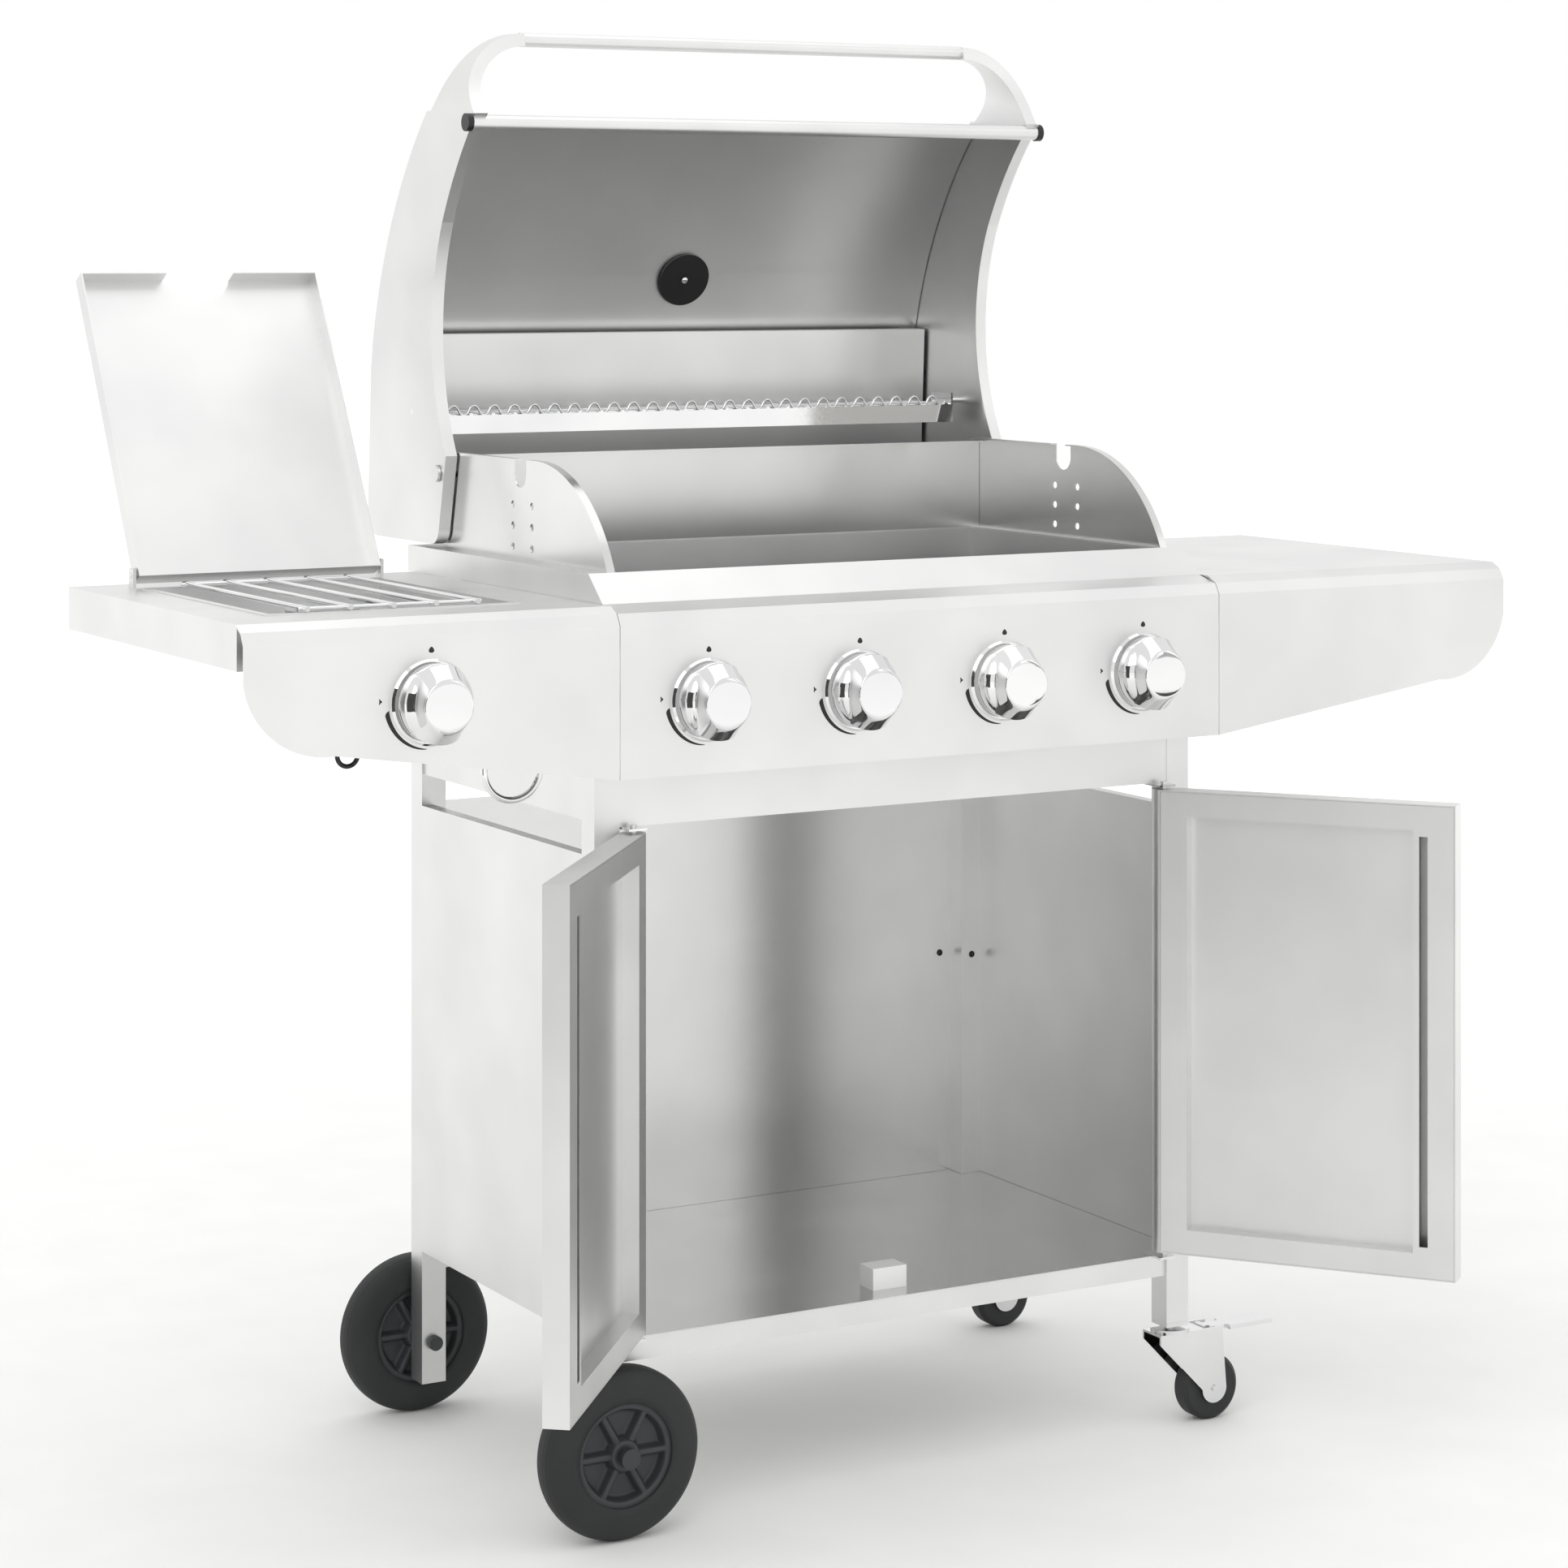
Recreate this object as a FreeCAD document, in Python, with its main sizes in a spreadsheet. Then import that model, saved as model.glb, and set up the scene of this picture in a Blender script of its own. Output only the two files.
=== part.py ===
"""Gas barbecue grill on a cart: four burners, side burner, hood, two doors.

Millimetres, +X to the right of a person facing the grill, +Y to the back, +Z up.
While modelling, y = 0 is the front of the control panel and z = 0 is the floor. The last
step moves every piece so that the origin is the bottom centre of the grill as it stands.
The hood, the doors and the side-burner lid are drawn closed and then swung open.
"""
import FreeCAD, Part
import math
import os
import re

from FreeCAD import Placement, Rotation, Vector

doc = FreeCAD.newDocument("gas_grill")
sheet = doc.addObject("Spreadsheet::Sheet", "dim")

SIZES = {
    # overall
    "cart_width": 638, "cart_depth": 393, "leg_front": 50, "table_height": 818, "table_span": 1334,
    "shelf_back": 437, "sheet_wall": 1.2, "gap_fit": 0.5, "run_fit": 0.05,
    # cart frame
    "leg_size": 25, "tube_wall": 1.5, "wheel_leg_foot": 37, "castor_leg_foot": 100, "rail_size": 20,
    "rail_bottom": 146, "panel_bottom": 165, "panel_top": 594, "beam_bottom": 624, "beam_top": 668,
    "front_beam_bottom": 619, "beam_depth": 18,
    # wheels
    "wheel_radius": 76, "wheel_width": 34, "hub_radius": 46, "axle_radius": 4, "wheel_gap": 4,
    "castor_radius": 31.5, "castor_width": 22, "castor_trail": 42, "castor_pin": 3, "fork_wall": 2,
    # doors
    "door_bottom": 174, "door_top": 614.5, "door_thick": 23, "door_inset": 285, "door_axis_y": 42,
    "door_gap": 1.5, "door_stile": 40, "door_recess": 15, "door_pin": 3, "door_left_open": 130,
    "door_right_open": 128,
    # control panel
    "fascia_bottom": 668, "fascia_face_top": 802, "fascia_wall": 1.5, "fascia_rise": 50,
    "knob_height": 733, "side_knob_height": 746, "knob_pitch": 154.4, "burner_shift": 5,
    "knob_radius": 34, "knob_depth": 30, "knob_back": 8, "stem_radius": 4, "stem_end": 22,
    "bezel_radius": 37, "bezel_depth": 3, "push_travel": 3, "valve_front": 14, "valve_depth": 15,
    "manifold_radius": 9, "nozzle_height": 752, "nozzle_radius": 4.5, "inlet_radius": 6.58,
    # shelves and side burner
    "shelf_depth": 39, "hook_wire": 3, "hook_radius": 27, "pan_width": 230, "pan_front": 80, "pan_back": 370, "pan_depth": 28,
    "lid_width": 240, "lid_front": 76, "lid_back": 396, "lid_bottom": 821, "lid_height": 17,
    "lid_axis_y": 391, "lid_axis_z": 830, "lid_pin": 2.5, "lid_open": 120, "burner_head_radius": 38,
    # firebox
    "rim_height": 25, "rim_front": 32, "rim_back": 449, "rim_width": 640, "rim_bevel": 28,
    "tub_width": 580, "tub_front": 62, "tub_back": 392, "tub_bottom": 690, "tub_wall": 1.5,
    "end_height": 92, "end_radius": 160, "end_x": 300, "end_wall": 1.5, "end_back": 403,
    "notch_width": 26, "notch_depth": 26, "notch_y": 237, "spit_hole_radius": 3.5,
    "spit_pitch_y": 40, "spit_pitch_z": 19.5, "grate_top": 812, "grate_rod": 3,
    "burner_radius": 19, "burner_back": 372, "tray_width": 240, "tray_front": 110, "tray_back": 440,
    "tray_bottom": 671, "tray_height": 14, "tray_wall": 1,
    # hood
    "hood_axis_y": 390, "hood_axis_z": 915, "hood_open": 87, "hood_width": 630, "cap_depth": 12,
    "cap_wall": 2.5, "hood_pin": 4, "skin_wall": 1.2, "lip_radius": 7.5, "lip_y": 53, "lip_z": 856, "hood_front": 44,
    "handle_reach": 76, "handle_width": 16, "handle_thick": 12, "handle_corner": 68,
    "thermometer_radius": 28, "thermometer_x": 20, "rack_width": 580, "rack_depth": 82, "rack_pin": 3,
    "rack_y": 452, "rack_z": 972,
}
for row, (alias, size) in enumerate(SIZES.items(), start=1):
    sheet.set(f"A{row}", alias)
    sheet.set(f"B{row}", str(size))
    sheet.setAlias(f"B{row}", alias)
doc.recompute()

WORD = re.compile(r"[a-z][a-z_]+")
FINAL = []


def tied(text):
    """Expression text whose size names point at the sheet."""
    return WORD.sub(lambda found: "dim." + found.group() if found.group() in SIZES else found.group(), text)


def size(text):
    """The number that an expression of size names comes to."""
    return float(sheet.evalExpression(tied(str(text))))


def bind(item, **values):
    """Bind properties to expressions; a double underscore stands for a dot."""
    for name, text in values.items():
        item.setExpression(name.replace("__", "."), tied(str(text)))
    return item


def place(item, corner):
    """Bind a placement's base to three expressions."""
    x, y, z = corner
    return bind(item, Placement__Base__x=x, Placement__Base__y=y, Placement__Base__z=z)


def box(name, corner, lengths):
    """A block from its lowest corner and its three lengths."""
    item = doc.addObject("Part::Box", name)
    bind(item, Length=lengths[0], Width=lengths[1], Height=lengths[2])
    return place(item, corner)


def rod(name, start, radius, length, along="z"):
    """A cylinder from the centre of its first end, along x, y or z."""
    item = doc.addObject("Part::Cylinder", name)
    turn = {"x": Rotation(Vector(0, 1, 0), 90), "y": Rotation(Vector(1, 0, 0), -90), "z": Rotation()}
    item.Placement = Placement(Vector(), turn[along])
    bind(item, Radius=radius, Height=length)
    return place(item, start)


def fuse(name, *items):
    """One solid from pieces that touch."""
    item = doc.addObject("Part::MultiFuse", name)
    item.Shapes = list(items)
    return item


def cut(name, base, *tools):
    """The base with every tool taken away."""
    item = doc.addObject("Part::Cut", name)
    item.Base = base
    item.Tool = tools[0] if len(tools) == 1 else fuse(name + "_tools", *tools)
    return item


def common(name, first, second):
    """What two solids share."""
    item = doc.addObject("Part::Common", name)
    item.Base = first
    item.Tool = second
    return item


def group(name, *items):
    """Separate solids kept as one piece group."""
    item = doc.addObject("Part::Compound", name)
    item.Links = list(items)
    return item


def shaped(name, shape):
    """A free-form shape as a document object."""
    item = doc.addObject("Part::Feature", name)
    item.Shape = shape
    return item


def keep(item, label, swing=None):
    """Mark a finished sub-part; swing is (point, axis, degrees) applied to the closed drawing."""
    item.Label = label
    FINAL.append((item, swing))
    return item


def outline_sketch(host, role, name, points, circles=()):
    """A closed outline in a body's own plane: every corner bound to two expressions, none negative."""
    plane = next(item for item in host.Origin.OriginFeatures if item.Role == role)
    sketch = host.newObject("Sketcher::SketchObject", name)
    sketch.AttachmentSupport = [(plane, "")]
    sketch.MapMode = "FlatFace"
    flat = [Vector(size(u), size(v), 0) for u, v in points]
    count = len(flat)
    for index in range(count):
        sketch.addGeometry(Part.LineSegment(flat[index], flat[(index + 1) % count]))
    for index in range(count):
        sketch.addConstraint(Sketcher.Constraint("Coincident", index, 2, (index + 1) % count, 1))
    for index, (u, v) in enumerate(points):
        pin_point(sketch, index, u, v, flat[index])
    for u, v, radius in circles:
        middle = Vector(size(u), size(v), 0)
        ring = sketch.addGeometry(Part.Circle(middle, Vector(0, 0, 1), size(radius)))
        pin_point(sketch, ring, u, v, middle, corner=3)
        held = sketch.addConstraint(Sketcher.Constraint("Radius", ring, size(radius)))
        sketch.setExpression(f"Constraints[{held}]", tied(radius))
    return sketch


def pin_point(sketch, index, u, v, spot, corner=1):
    """Hold a sketch point at (u, v), on an axis where the distance is nothing."""
    for kind, text, distance, axis in (("DistanceX", u, spot.x, -2), ("DistanceY", v, spot.y, -1)):
        if abs(distance) < 1e-9:
            sketch.addConstraint(Sketcher.Constraint("PointOnObject", index, corner, axis))
            continue
        held = sketch.addConstraint(Sketcher.Constraint(kind, -1, 1, index, corner, distance))
        sketch.setExpression(f"Constraints[{held}]", tied(text))


def padded(name, points, depth, role="XY_Plane", circles=()):
    """A PartDesign body: an outline with round holes, padded."""
    host = doc.addObject("PartDesign::Body", name)
    sketch = outline_sketch(host, role, name + "_outline", points, circles)
    pad = host.newObject("PartDesign::Pad", name + "_pad")
    pad.Profile = sketch
    bind(pad, Length=depth)
    return host


def turned(name, points):
    """A PartDesign body: an outline of (radius, height) corners turned about its height axis."""
    host = doc.addObject("PartDesign::Body", name)
    sketch = outline_sketch(host, "XY_Plane", name + "_outline", points)
    turn = host.newObject("PartDesign::Revolution", name + "_turn")
    turn.Profile = sketch
    turn.ReferenceAxis = (sketch, ["V_Axis"])
    turn.Angle = 360
    return host


def tube(name, corner, section, length, along="z"):
    """A square tube: a hollow pad along x, y or z from its lowest corner."""
    wide, deep = section
    host = doc.addObject("PartDesign::Body", name)
    outer = outline_sketch(host, "XY_Plane", name + "_outer",
                           [("0", "0"), (wide, "0"), (wide, deep), ("0", deep)])
    pad = host.newObject("PartDesign::Pad", name + "_pad")
    pad.Profile = outer
    bind(pad, Length=length)
    wall = "tube_wall"
    bore = outline_sketch(host, "XY_Plane", name + "_bore",
                          [(wall, wall), (f"{wide} - {wall}", wall),
                           (f"{wide} - {wall}", f"{deep} - {wall}"), (wall, f"{deep} - {wall}")])
    pocket = host.newObject("PartDesign::Pocket", name + "_pocket")
    pocket.Profile = bore
    pocket.Type = 1
    pocket.Reversed = True
    # the outline's first side runs along x, or along y for a tube that lies along x
    turn = {"z": Rotation(), "x": Rotation(Vector(0, 1, 0), Vector(0, 0, 1), Vector(1, 0, 0), "XYZ"),
            "y": Rotation(Vector(0, 0, 1), Vector(1, 0, 0), Vector(0, 1, 0), "XYZ")}
    host.Placement = Placement(Vector(), turn[along])
    return place(host, corner)


HALF = "cart_width / 2"
LEG_INNER = "cart_width / 2 - leg_size"
REAR_LEG = "leg_front + cart_depth - leg_size"
CART_BACK = "leg_front + cart_depth"
right_legs = []


# ---------------------------------------------------------------- cart frame
def make_cart():
    """Legs, rails, beams, shelf and panels."""
    for side, left_edge, foot in (("left", f"-({HALF})", "wheel_leg_foot"),
                                  ("right", LEG_INNER, "castor_leg_foot")):
        legs = []
        for row, front in (("front", "leg_front"), ("rear", REAR_LEG)):
            leg = tube(f"{side}_{row}_leg", (left_edge, front, foot), ("leg_size", "leg_size"),
                       f"table_height - {foot} - 3")
            if side == "left":
                bore = rod(f"{row}_axle_bore", (f"{left_edge} + leg_size / 2", f"{front} - 1", "wheel_radius"),
                           "axle_radius + run_fit", "leg_size + 2", "y")
                leg = cut(f"{side}_{row}_leg_bored", leg, bore)
            legs.append(leg)
        if side == "left":
            keep(group(f"{side}_legs", *legs), f"legs_{side}")
        else:
            right_legs.extend(legs)

    rails = []
    for row, front in (("front", "leg_front + 2.5"), ("rear", f"{CART_BACK} - rail_size - 2.5")):
        rails.append(tube(f"{row}_rail", (f"-({LEG_INNER})", front, "rail_bottom"),
                          ("rail_size", "rail_size"), f"2 * ({LEG_INNER})", "x"))
    rails.append(tube("rear_top_beam", (f"-({LEG_INNER})", f"{CART_BACK} - beam_depth - 2.5", "beam_bottom"),
                      ("beam_depth", "beam_top - beam_bottom"), f"2 * ({LEG_INNER})", "x"))
    for side, edge in (("left", f"-({HALF}) + 2"), ("right", f"{HALF} - 2 - beam_depth")):
        rails.append(tube(f"{side}_top_beam", (edge, "leg_front + leg_size", "beam_bottom"),
                          ("beam_top - beam_bottom", "beam_depth"), "cart_depth - 2 * leg_size", "y"))
    keep(group("rails", *rails), "frame_rails")
    keep(tube("front_top_beam", (f"-({LEG_INNER})", "leg_front + 0.5", "front_beam_bottom"),
              ("beam_depth", "beam_top - front_beam_bottom"), f"2 * ({LEG_INNER})", "x"), "front_beam")

    floor = "rail_bottom + rail_size"
    wall = "sheet_wall"
    middle = box("shelf_middle", (f"-({LEG_INNER}) + gap_fit", "leg_front + gap_fit", floor),
                 (f"2 * ({LEG_INNER} - gap_fit)", f"cart_depth - {wall} - 2 * gap_fit", wall))
    tabs = box("shelf_tabs", (f"-({HALF}) + {wall} + gap_fit", "leg_front + leg_size + gap_fit", floor),
               (f"2 * ({HALF} - {wall} - gap_fit)", "cart_depth - 2 * leg_size - 2 * gap_fit", wall))
    keep(fuse("shelf_plate", middle, tabs), "bottom_shelf")

    panels = []
    for side, edge, lip in (("left", f"-({HALF})", f"-({HALF})"),
                            ("right", f"{HALF} - {wall}", f"{HALF} - leg_size / 2")):
        sheet_face = box(f"{side}_sheet", (edge, "leg_front + leg_size", "panel_bottom"),
                         (wall, "cart_depth - 2 * leg_size", "panel_top - panel_bottom"))
        top_lip = box(f"{side}_sheet_lip", (lip, "leg_front + leg_size", f"panel_top - {wall}"),
                      ("leg_size / 2", "cart_depth - 2 * leg_size", wall))
        panels.append(fuse(f"{side}_side_panel", sheet_face, top_lip))
    back = box("back_sheet", (f"-({LEG_INNER})", f"{CART_BACK} - {wall}", "panel_bottom"),
               (f"2 * ({LEG_INNER})", wall, "panel_top - panel_bottom"))
    keep(back, "back_panel")
    keep(group("panels", *panels), "side_panels")

    keep(box("catch", ("-18", "leg_front + rail_size + 6", f"{floor} + {wall}"), ("36", "24", "20")), "door_catch")


def make_wheels():
    """Two big wheels on axle bolts along y, and two castors that trail outwards."""
    across = f"-({HALF}) + leg_size / 2"
    front_face = "leg_front - wheel_gap - wheel_width"
    rear_face = f"{CART_BACK} + wheel_gap"
    axles = []
    for name, face, bolt_start, head in (
            ("front", front_face, f"{front_face} - 3", f"{front_face} - 9"),
            ("rear", rear_face, f"{REAR_LEG} - 6", f"{rear_face} + wheel_width + 3")):
        tyre = turned(f"{name}_tyre", [
            ("hub_radius", "2"), ("wheel_radius - 12", "0"), ("wheel_radius - 4", "3"),
            ("wheel_radius", "9"), ("wheel_radius", "wheel_width - 9"),
            ("wheel_radius - 4", "wheel_width - 3"), ("wheel_radius - 12", "wheel_width"),
            ("hub_radius", "wheel_width - 2")])
        hub = turned(f"{name}_hub", [
            ("axle_radius + run_fit", "0"), ("14", "0"), ("14", "8"), ("hub_radius - 6", "10"),
            ("hub_radius - 6", "3"), ("hub_radius", "3"), ("hub_radius", "wheel_width - 3"),
            ("hub_radius - 6", "wheel_width - 3"), ("hub_radius - 6", "wheel_width - 10"),
            ("14", "wheel_width - 8"), ("14", "wheel_width"), ("axle_radius + run_fit", "wheel_width")])
        # the turning outlines are drawn with their height along y already
        for piece in (tyre, hub):
            place(piece, (across, face, "wheel_radius"))
        keep(group(f"{name}_wheel", tyre, hub), f"wheel_{name}")
        shank_end = f"{REAR_LEG} - 6" if name == "rear" else f"{front_face} - 3"
        shank = rod(f"{name}_shank", (across, shank_end, "wheel_radius"), "axle_radius",
                    "wheel_width + wheel_gap + leg_size + 9", "y")
        cap = rod(f"{name}_axle_head", (across, head, "wheel_radius"), "9", "6", "y")
        nut_y = f"{REAR_LEG} - 6" if name == "rear" else "leg_front + leg_size + 0.2"
        nut = rod(f"{name}_nut", (across, nut_y, "wheel_radius"), "7", "5.8", "y")
        axles.append(fuse(f"{name}_axle", shank, cap, nut))
    keep(group("axles", *axles), "wheel_axles")

    leg_x = f"{HALF} - leg_size / 2"
    wheel_x = f"{leg_x} + castor_trail"
    for row, leg_y in (("front", "leg_front + leg_size / 2"), ("rear", f"{REAR_LEG} + leg_size / 2")):
        half = "castor_width / 2"
        wheel = turned(f"{row}_castor_tread", [
            ("castor_pin + run_fit", "0"), ("castor_radius - 4", "0"), ("castor_radius", "4"),
            ("castor_radius", "castor_width - 4"), ("castor_radius - 4", "castor_width"),
            ("castor_pin + run_fit", "castor_width")])
        place(wheel, (wheel_x, f"{leg_y} - {half}", "castor_radius"))
        keep(wheel, f"castor_wheel_{row}")
        cheeks = []
        for cheek, offset in (("near", f"-{half} - 2 - fork_wall"), ("far", f"{half} + 2")):
            cheeks.append(fork_cheek(f"{row}_{cheek}", leg_x, f"{leg_y} {'+' if offset[0] != '-' else ''}{offset}"))
        crown = box(f"{row}_crown", (f"{leg_x} - 21", f"{leg_y} - {half} - 2 - fork_wall", "castor_leg_foot - 12"),
                    ("52", "castor_width + 4 + 2 * fork_wall", "fork_wall"))
        pin = rod(f"{row}_castor_pin", (wheel_x, f"{leg_y} - {half} - 4 - fork_wall", "castor_radius"),
                  "castor_pin", "castor_width + 8 + 2 * fork_wall", "y")
        seat = rod(f"{row}_race", (leg_x, leg_y, "castor_leg_foot - 10.5"), "19", "4", "z")
        stem = rod(f"{row}_stem", (leg_x, leg_y, "castor_leg_foot - 7"), "5", "30", "z")
        pieces = [*cheeks, crown, pin, seat, stem]
        if row == "front":
            pieces.append(rod("brake_pin", (f"{leg_x} + 38", f"{leg_y} - {half} - 4", "castor_leg_foot - 14"),
                              "2", "castor_width + 8", "y"))
        keep(fuse(f"{row}_fork", *pieces), f"castor_fork_{row}")
    make_brake()
    plugs = []
    for row, leg_y in (("front", "leg_front + leg_size / 2"), ("rear", f"{REAR_LEG} + leg_size / 2")):
        edge = "tube_wall + 0.1"
        core = box(f"{row}_plug_core", (f"{LEG_INNER} + {edge}", f"{leg_y} - leg_size / 2 + {edge}",
                                        "castor_leg_foot"),
                   (f"leg_size - 2 * ({edge})", f"leg_size - 2 * ({edge})", "34"))
        brim = box(f"{row}_plug_brim", (LEG_INNER, f"{leg_y} - leg_size / 2", "castor_leg_foot - 4"),
                   ("leg_size", "leg_size", "3.9"))
        hole = rod(f"{row}_plug_hole", (leg_x, leg_y, "castor_leg_foot - 5"), "5 + run_fit", "32", "z")
        plugs.append(cut(f"{row}_plug", fuse(f"{row}_plug_body", core, brim), hole))
    keep(group("right_legs", *right_legs, *plugs), "legs_right")


def fork_cheek(name, leg_x, face):
    """One side of a castor fork: a wedge that narrows to the axle, with a round end."""
    top = size("castor_leg_foot - 10")
    low = size("castor_radius")
    middle = size(leg_x)
    trail = size("castor_trail")
    round_end = 14
    corners = [Vector(middle - 21, 0, top), Vector(middle - 21, 0, top - 9),
               Vector(middle + trail - round_end, 0, low), Vector(middle + trail, 0, low - round_end),
               Vector(middle + trail + round_end, 0, low), Vector(middle + trail + 9, 0, top)]
    edges = [Part.LineSegment(corners[0], corners[1]).toShape(), Part.LineSegment(corners[1], corners[2]).toShape(),
             Part.Arc(corners[2], corners[3], corners[4]).toShape(),
             Part.LineSegment(corners[4], corners[5]).toShape(), Part.LineSegment(corners[5], corners[0]).toShape()]
    plate = Part.Face(Part.Wire(edges)).extrude(Vector(0, size("fork_wall"), 0))
    item = shaped(name + "_cheek", plate)
    return bind(item, Placement__Base__y=face)


def make_brake():
    """The foot pedal on the front castor, on its own pin over the wheel."""
    leg_x, leg_y = f"{HALF} - leg_size / 2", "leg_front + leg_size / 2"
    pedal = box("pedal_plate", (f"{leg_x} + 62", f"{leg_y} - 13", "castor_leg_foot - 15"), ("50", "26", "4"))
    arm = box("pedal_arm", (f"{leg_x} + 36", f"{leg_y} - 8", "castor_leg_foot - 15"), ("30", "16", "4"))
    barrel = rod("pedal_barrel", (f"{leg_x} + 38", f"{leg_y} - 8", "castor_leg_foot - 14"), "5", "16", "y")
    bore = rod("pedal_bore", (f"{leg_x} + 38", f"{leg_y} - 9", "castor_leg_foot - 14"), "2 + run_fit", "18", "y")
    keep(cut("pedal", fuse("pedal_body", pedal, arm, barrel), bore), "castor_brake")
    return pedal


# ---------------------------------------------------------------- doors
def make_door(side):
    """A hollow door: outer skin, inner tray with its recess and grip slot, round hinge edge and pins."""
    wall = "sheet_wall"
    half = "door_thick / 2"
    height = "door_top - door_bottom"
    face = f"door_axis_y - {half}"
    near, far = f"-door_inset", f"-door_gap"
    length = "door_inset - door_gap"
    skin_shell = box(f"{side}_door_block", (near, face, "door_bottom"), (length, "door_thick", height))
    hinge_edge = rod(f"{side}_door_edge", (near, "door_axis_y", "door_bottom"), half, height)
    hollow = box(f"{side}_door_hollow", (near, f"{face} + {wall}", f"door_bottom + {wall}"),
                 (f"{length} - {wall}", f"door_thick - {wall} + 1", f"{height} - 2 * {wall}"))
    skin = cut(f"{side}_door_skin", fuse(f"{side}_door_blank", skin_shell, hinge_edge), hollow)

    tray_x, tray_z = f"{near} + 26", "door_bottom + 24"
    tray_long, tray_tall = f"{length} - 26 - door_stile", f"{height} - 48"
    inner = f"door_axis_y + {half}"
    plate = box(f"{side}_door_inner", (f"{near} + 0.3", f"{inner} - {wall}", f"door_bottom + {wall} + 0.2"),
                (f"{length} - {wall} - 0.5", wall, f"{height} - 2 * {wall} - 0.4"))
    tray = box(f"{side}_door_tray", (f"{tray_x} - {wall}", f"{inner} - door_recess - {wall}", f"{tray_z} - {wall}"),
               (f"{tray_long} + 2 * {wall}", f"door_recess + {wall}", f"{tray_tall} + 2 * {wall}"))
    recess = box(f"{side}_door_recess", (tray_x, f"{inner} - door_recess", tray_z),
                 (tray_long, "door_recess + 1", tray_tall))
    slot = box(f"{side}_door_slot", (f"{tray_x} + {tray_long} + 6", f"{inner} - {wall} - 1", f"{tray_z} + 6"),
               ("8", f"{wall} + 2", f"{tray_tall} - 12"))
    liner = cut(f"{side}_door_liner", fuse(f"{side}_door_liner_blank", plate, tray), recess, slot)
    pin_top = rod(f"{side}_pin_top", (near, "door_axis_y", "door_top"), "door_pin", "7")
    pin_low = rod(f"{side}_pin_low", (near, "door_axis_y", "door_bottom - 8"), "door_pin", "8")
    door = group(f"{side}_door", fuse(f"{side}_door_hinged", skin, pin_top, pin_low), liner)
    axis = Vector(-size("door_inset"), size("door_axis_y"), 0)
    if side == "right":
        door_right = doc.addObject("Part::Mirroring", "right_door_mirrored")
        door_right.Source = door
        door_right.Normal = Vector(1, 0, 0)
        axis.x = -axis.x
        return keep(door_right, "door_right", (axis, Vector(0, 0, 1), size("door_right_open")))
    return keep(door, "door_left", (axis, Vector(0, 0, 1), -size("door_left_open")))


def make_hinge_lugs():
    """Four small lugs, two at the shelf and two under the front beam, that hold the door pins."""
    lugs = []
    for row, low in (("low", "rail_bottom + rail_size + sheet_wall"), ("top", "front_beam_bottom - 2")):
        for side, edge in (("left", "-door_inset - 8"), ("right", "door_inset - 10")):
            plate = box(f"{row}_{side}_lug", (edge, "door_axis_y - 8", low), ("18", "26", "2"))
            sign = "-" if side == "left" else ""
            bore = rod(f"{row}_{side}_lug_bore", (f"{sign}door_inset", "door_axis_y", f"{low} - 1"),
                       "door_pin + run_fit", "4")
            lugs.append(cut(f"{row}_{side}_lug_bored", plate, bore))
    keep(group("lugs", *lugs), "door_hinge_lugs")


# ---------------------------------------------------------------- control panel, gas train, shelves
def standing(host, corner):
    """Stand a body up: its outline in the x-z plane and its pad towards the front."""
    host.Placement = Placement(Vector(), Rotation(Vector(1, 0, 0), Vector(0, 0, 1), Vector(0, -1, 0), "XYZ"))
    return place(host, corner)


def bent_profile(name, start, length, back):
    """The panel's folded section (face, bevel and top return, bottom return) carried along x."""
    wall = "fascia_wall"
    tall = "table_height - fascia_bottom"
    face = "fascia_face_top - fascia_bottom"
    section = [("0", "0"), ("0", face), ("6", f"{tall} - 6"), (back, tall), (back, f"{tall} - {wall}"),
               (f"6 + {wall} / 2", f"{tall} - 6 - {wall}"), (wall, f"{face} - {wall} / 2"), (wall, wall),
               ("leg_front - 2", wall), ("leg_front - 2", "0")]
    host = padded(name, section, length)
    host.Placement = Placement(Vector(), Rotation(Vector(0, 1, 0), Vector(0, 0, 1), Vector(1, 0, 0), "XYZ"))
    return place(host, (start, "0", "fascia_bottom"))


def end_blank(name, side):
    """The outline of a side panel seen from the front: it rises outwards and rounds up at its end."""
    sign = -1 if side == "left" else 1
    inner, outer = size(HALF) + 0.5, size("table_span / 2")
    low, high = size("fascia_bottom"), size("table_height")
    rise = size("fascia_rise")
    corner_run = 82
    start = Vector(sign * (outer - corner_run), 0, low + 0.76 * rise)
    corner = Vector(sign * (outer - 0.23 * corner_run), 0, low + 1.24 * rise)
    end = Vector(sign * outer, 0, low + 2.5 * rise)
    edges = [Part.LineSegment(Vector(sign * inner, 0, low), start).toShape(), Part.Arc(start, corner, end).toShape(),
             Part.LineSegment(end, Vector(sign * outer, 0, high + 1)).toShape(),
             Part.LineSegment(Vector(sign * outer, 0, high + 1), Vector(sign * inner, 0, high + 1)).toShape(),
             Part.LineSegment(Vector(sign * inner, 0, high + 1), Vector(sign * inner, 0, low)).toShape()]
    return shaped(name, Part.Face(Part.Wire(edges)).extrude(Vector(0, size("leg_front"), 0)))


def knob_places():
    """(name, x, height) of the five controls."""
    spots = [(f"{index + 1}", f"{step} * knob_pitch", "knob_height")
             for index, step in enumerate((-1.5, -0.5, 0.5, 1.5))]
    spots.append(("side", "-(table_span / 4 + cart_width / 4 + burner_shift)", "side_knob_height"))
    return spots


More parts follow.
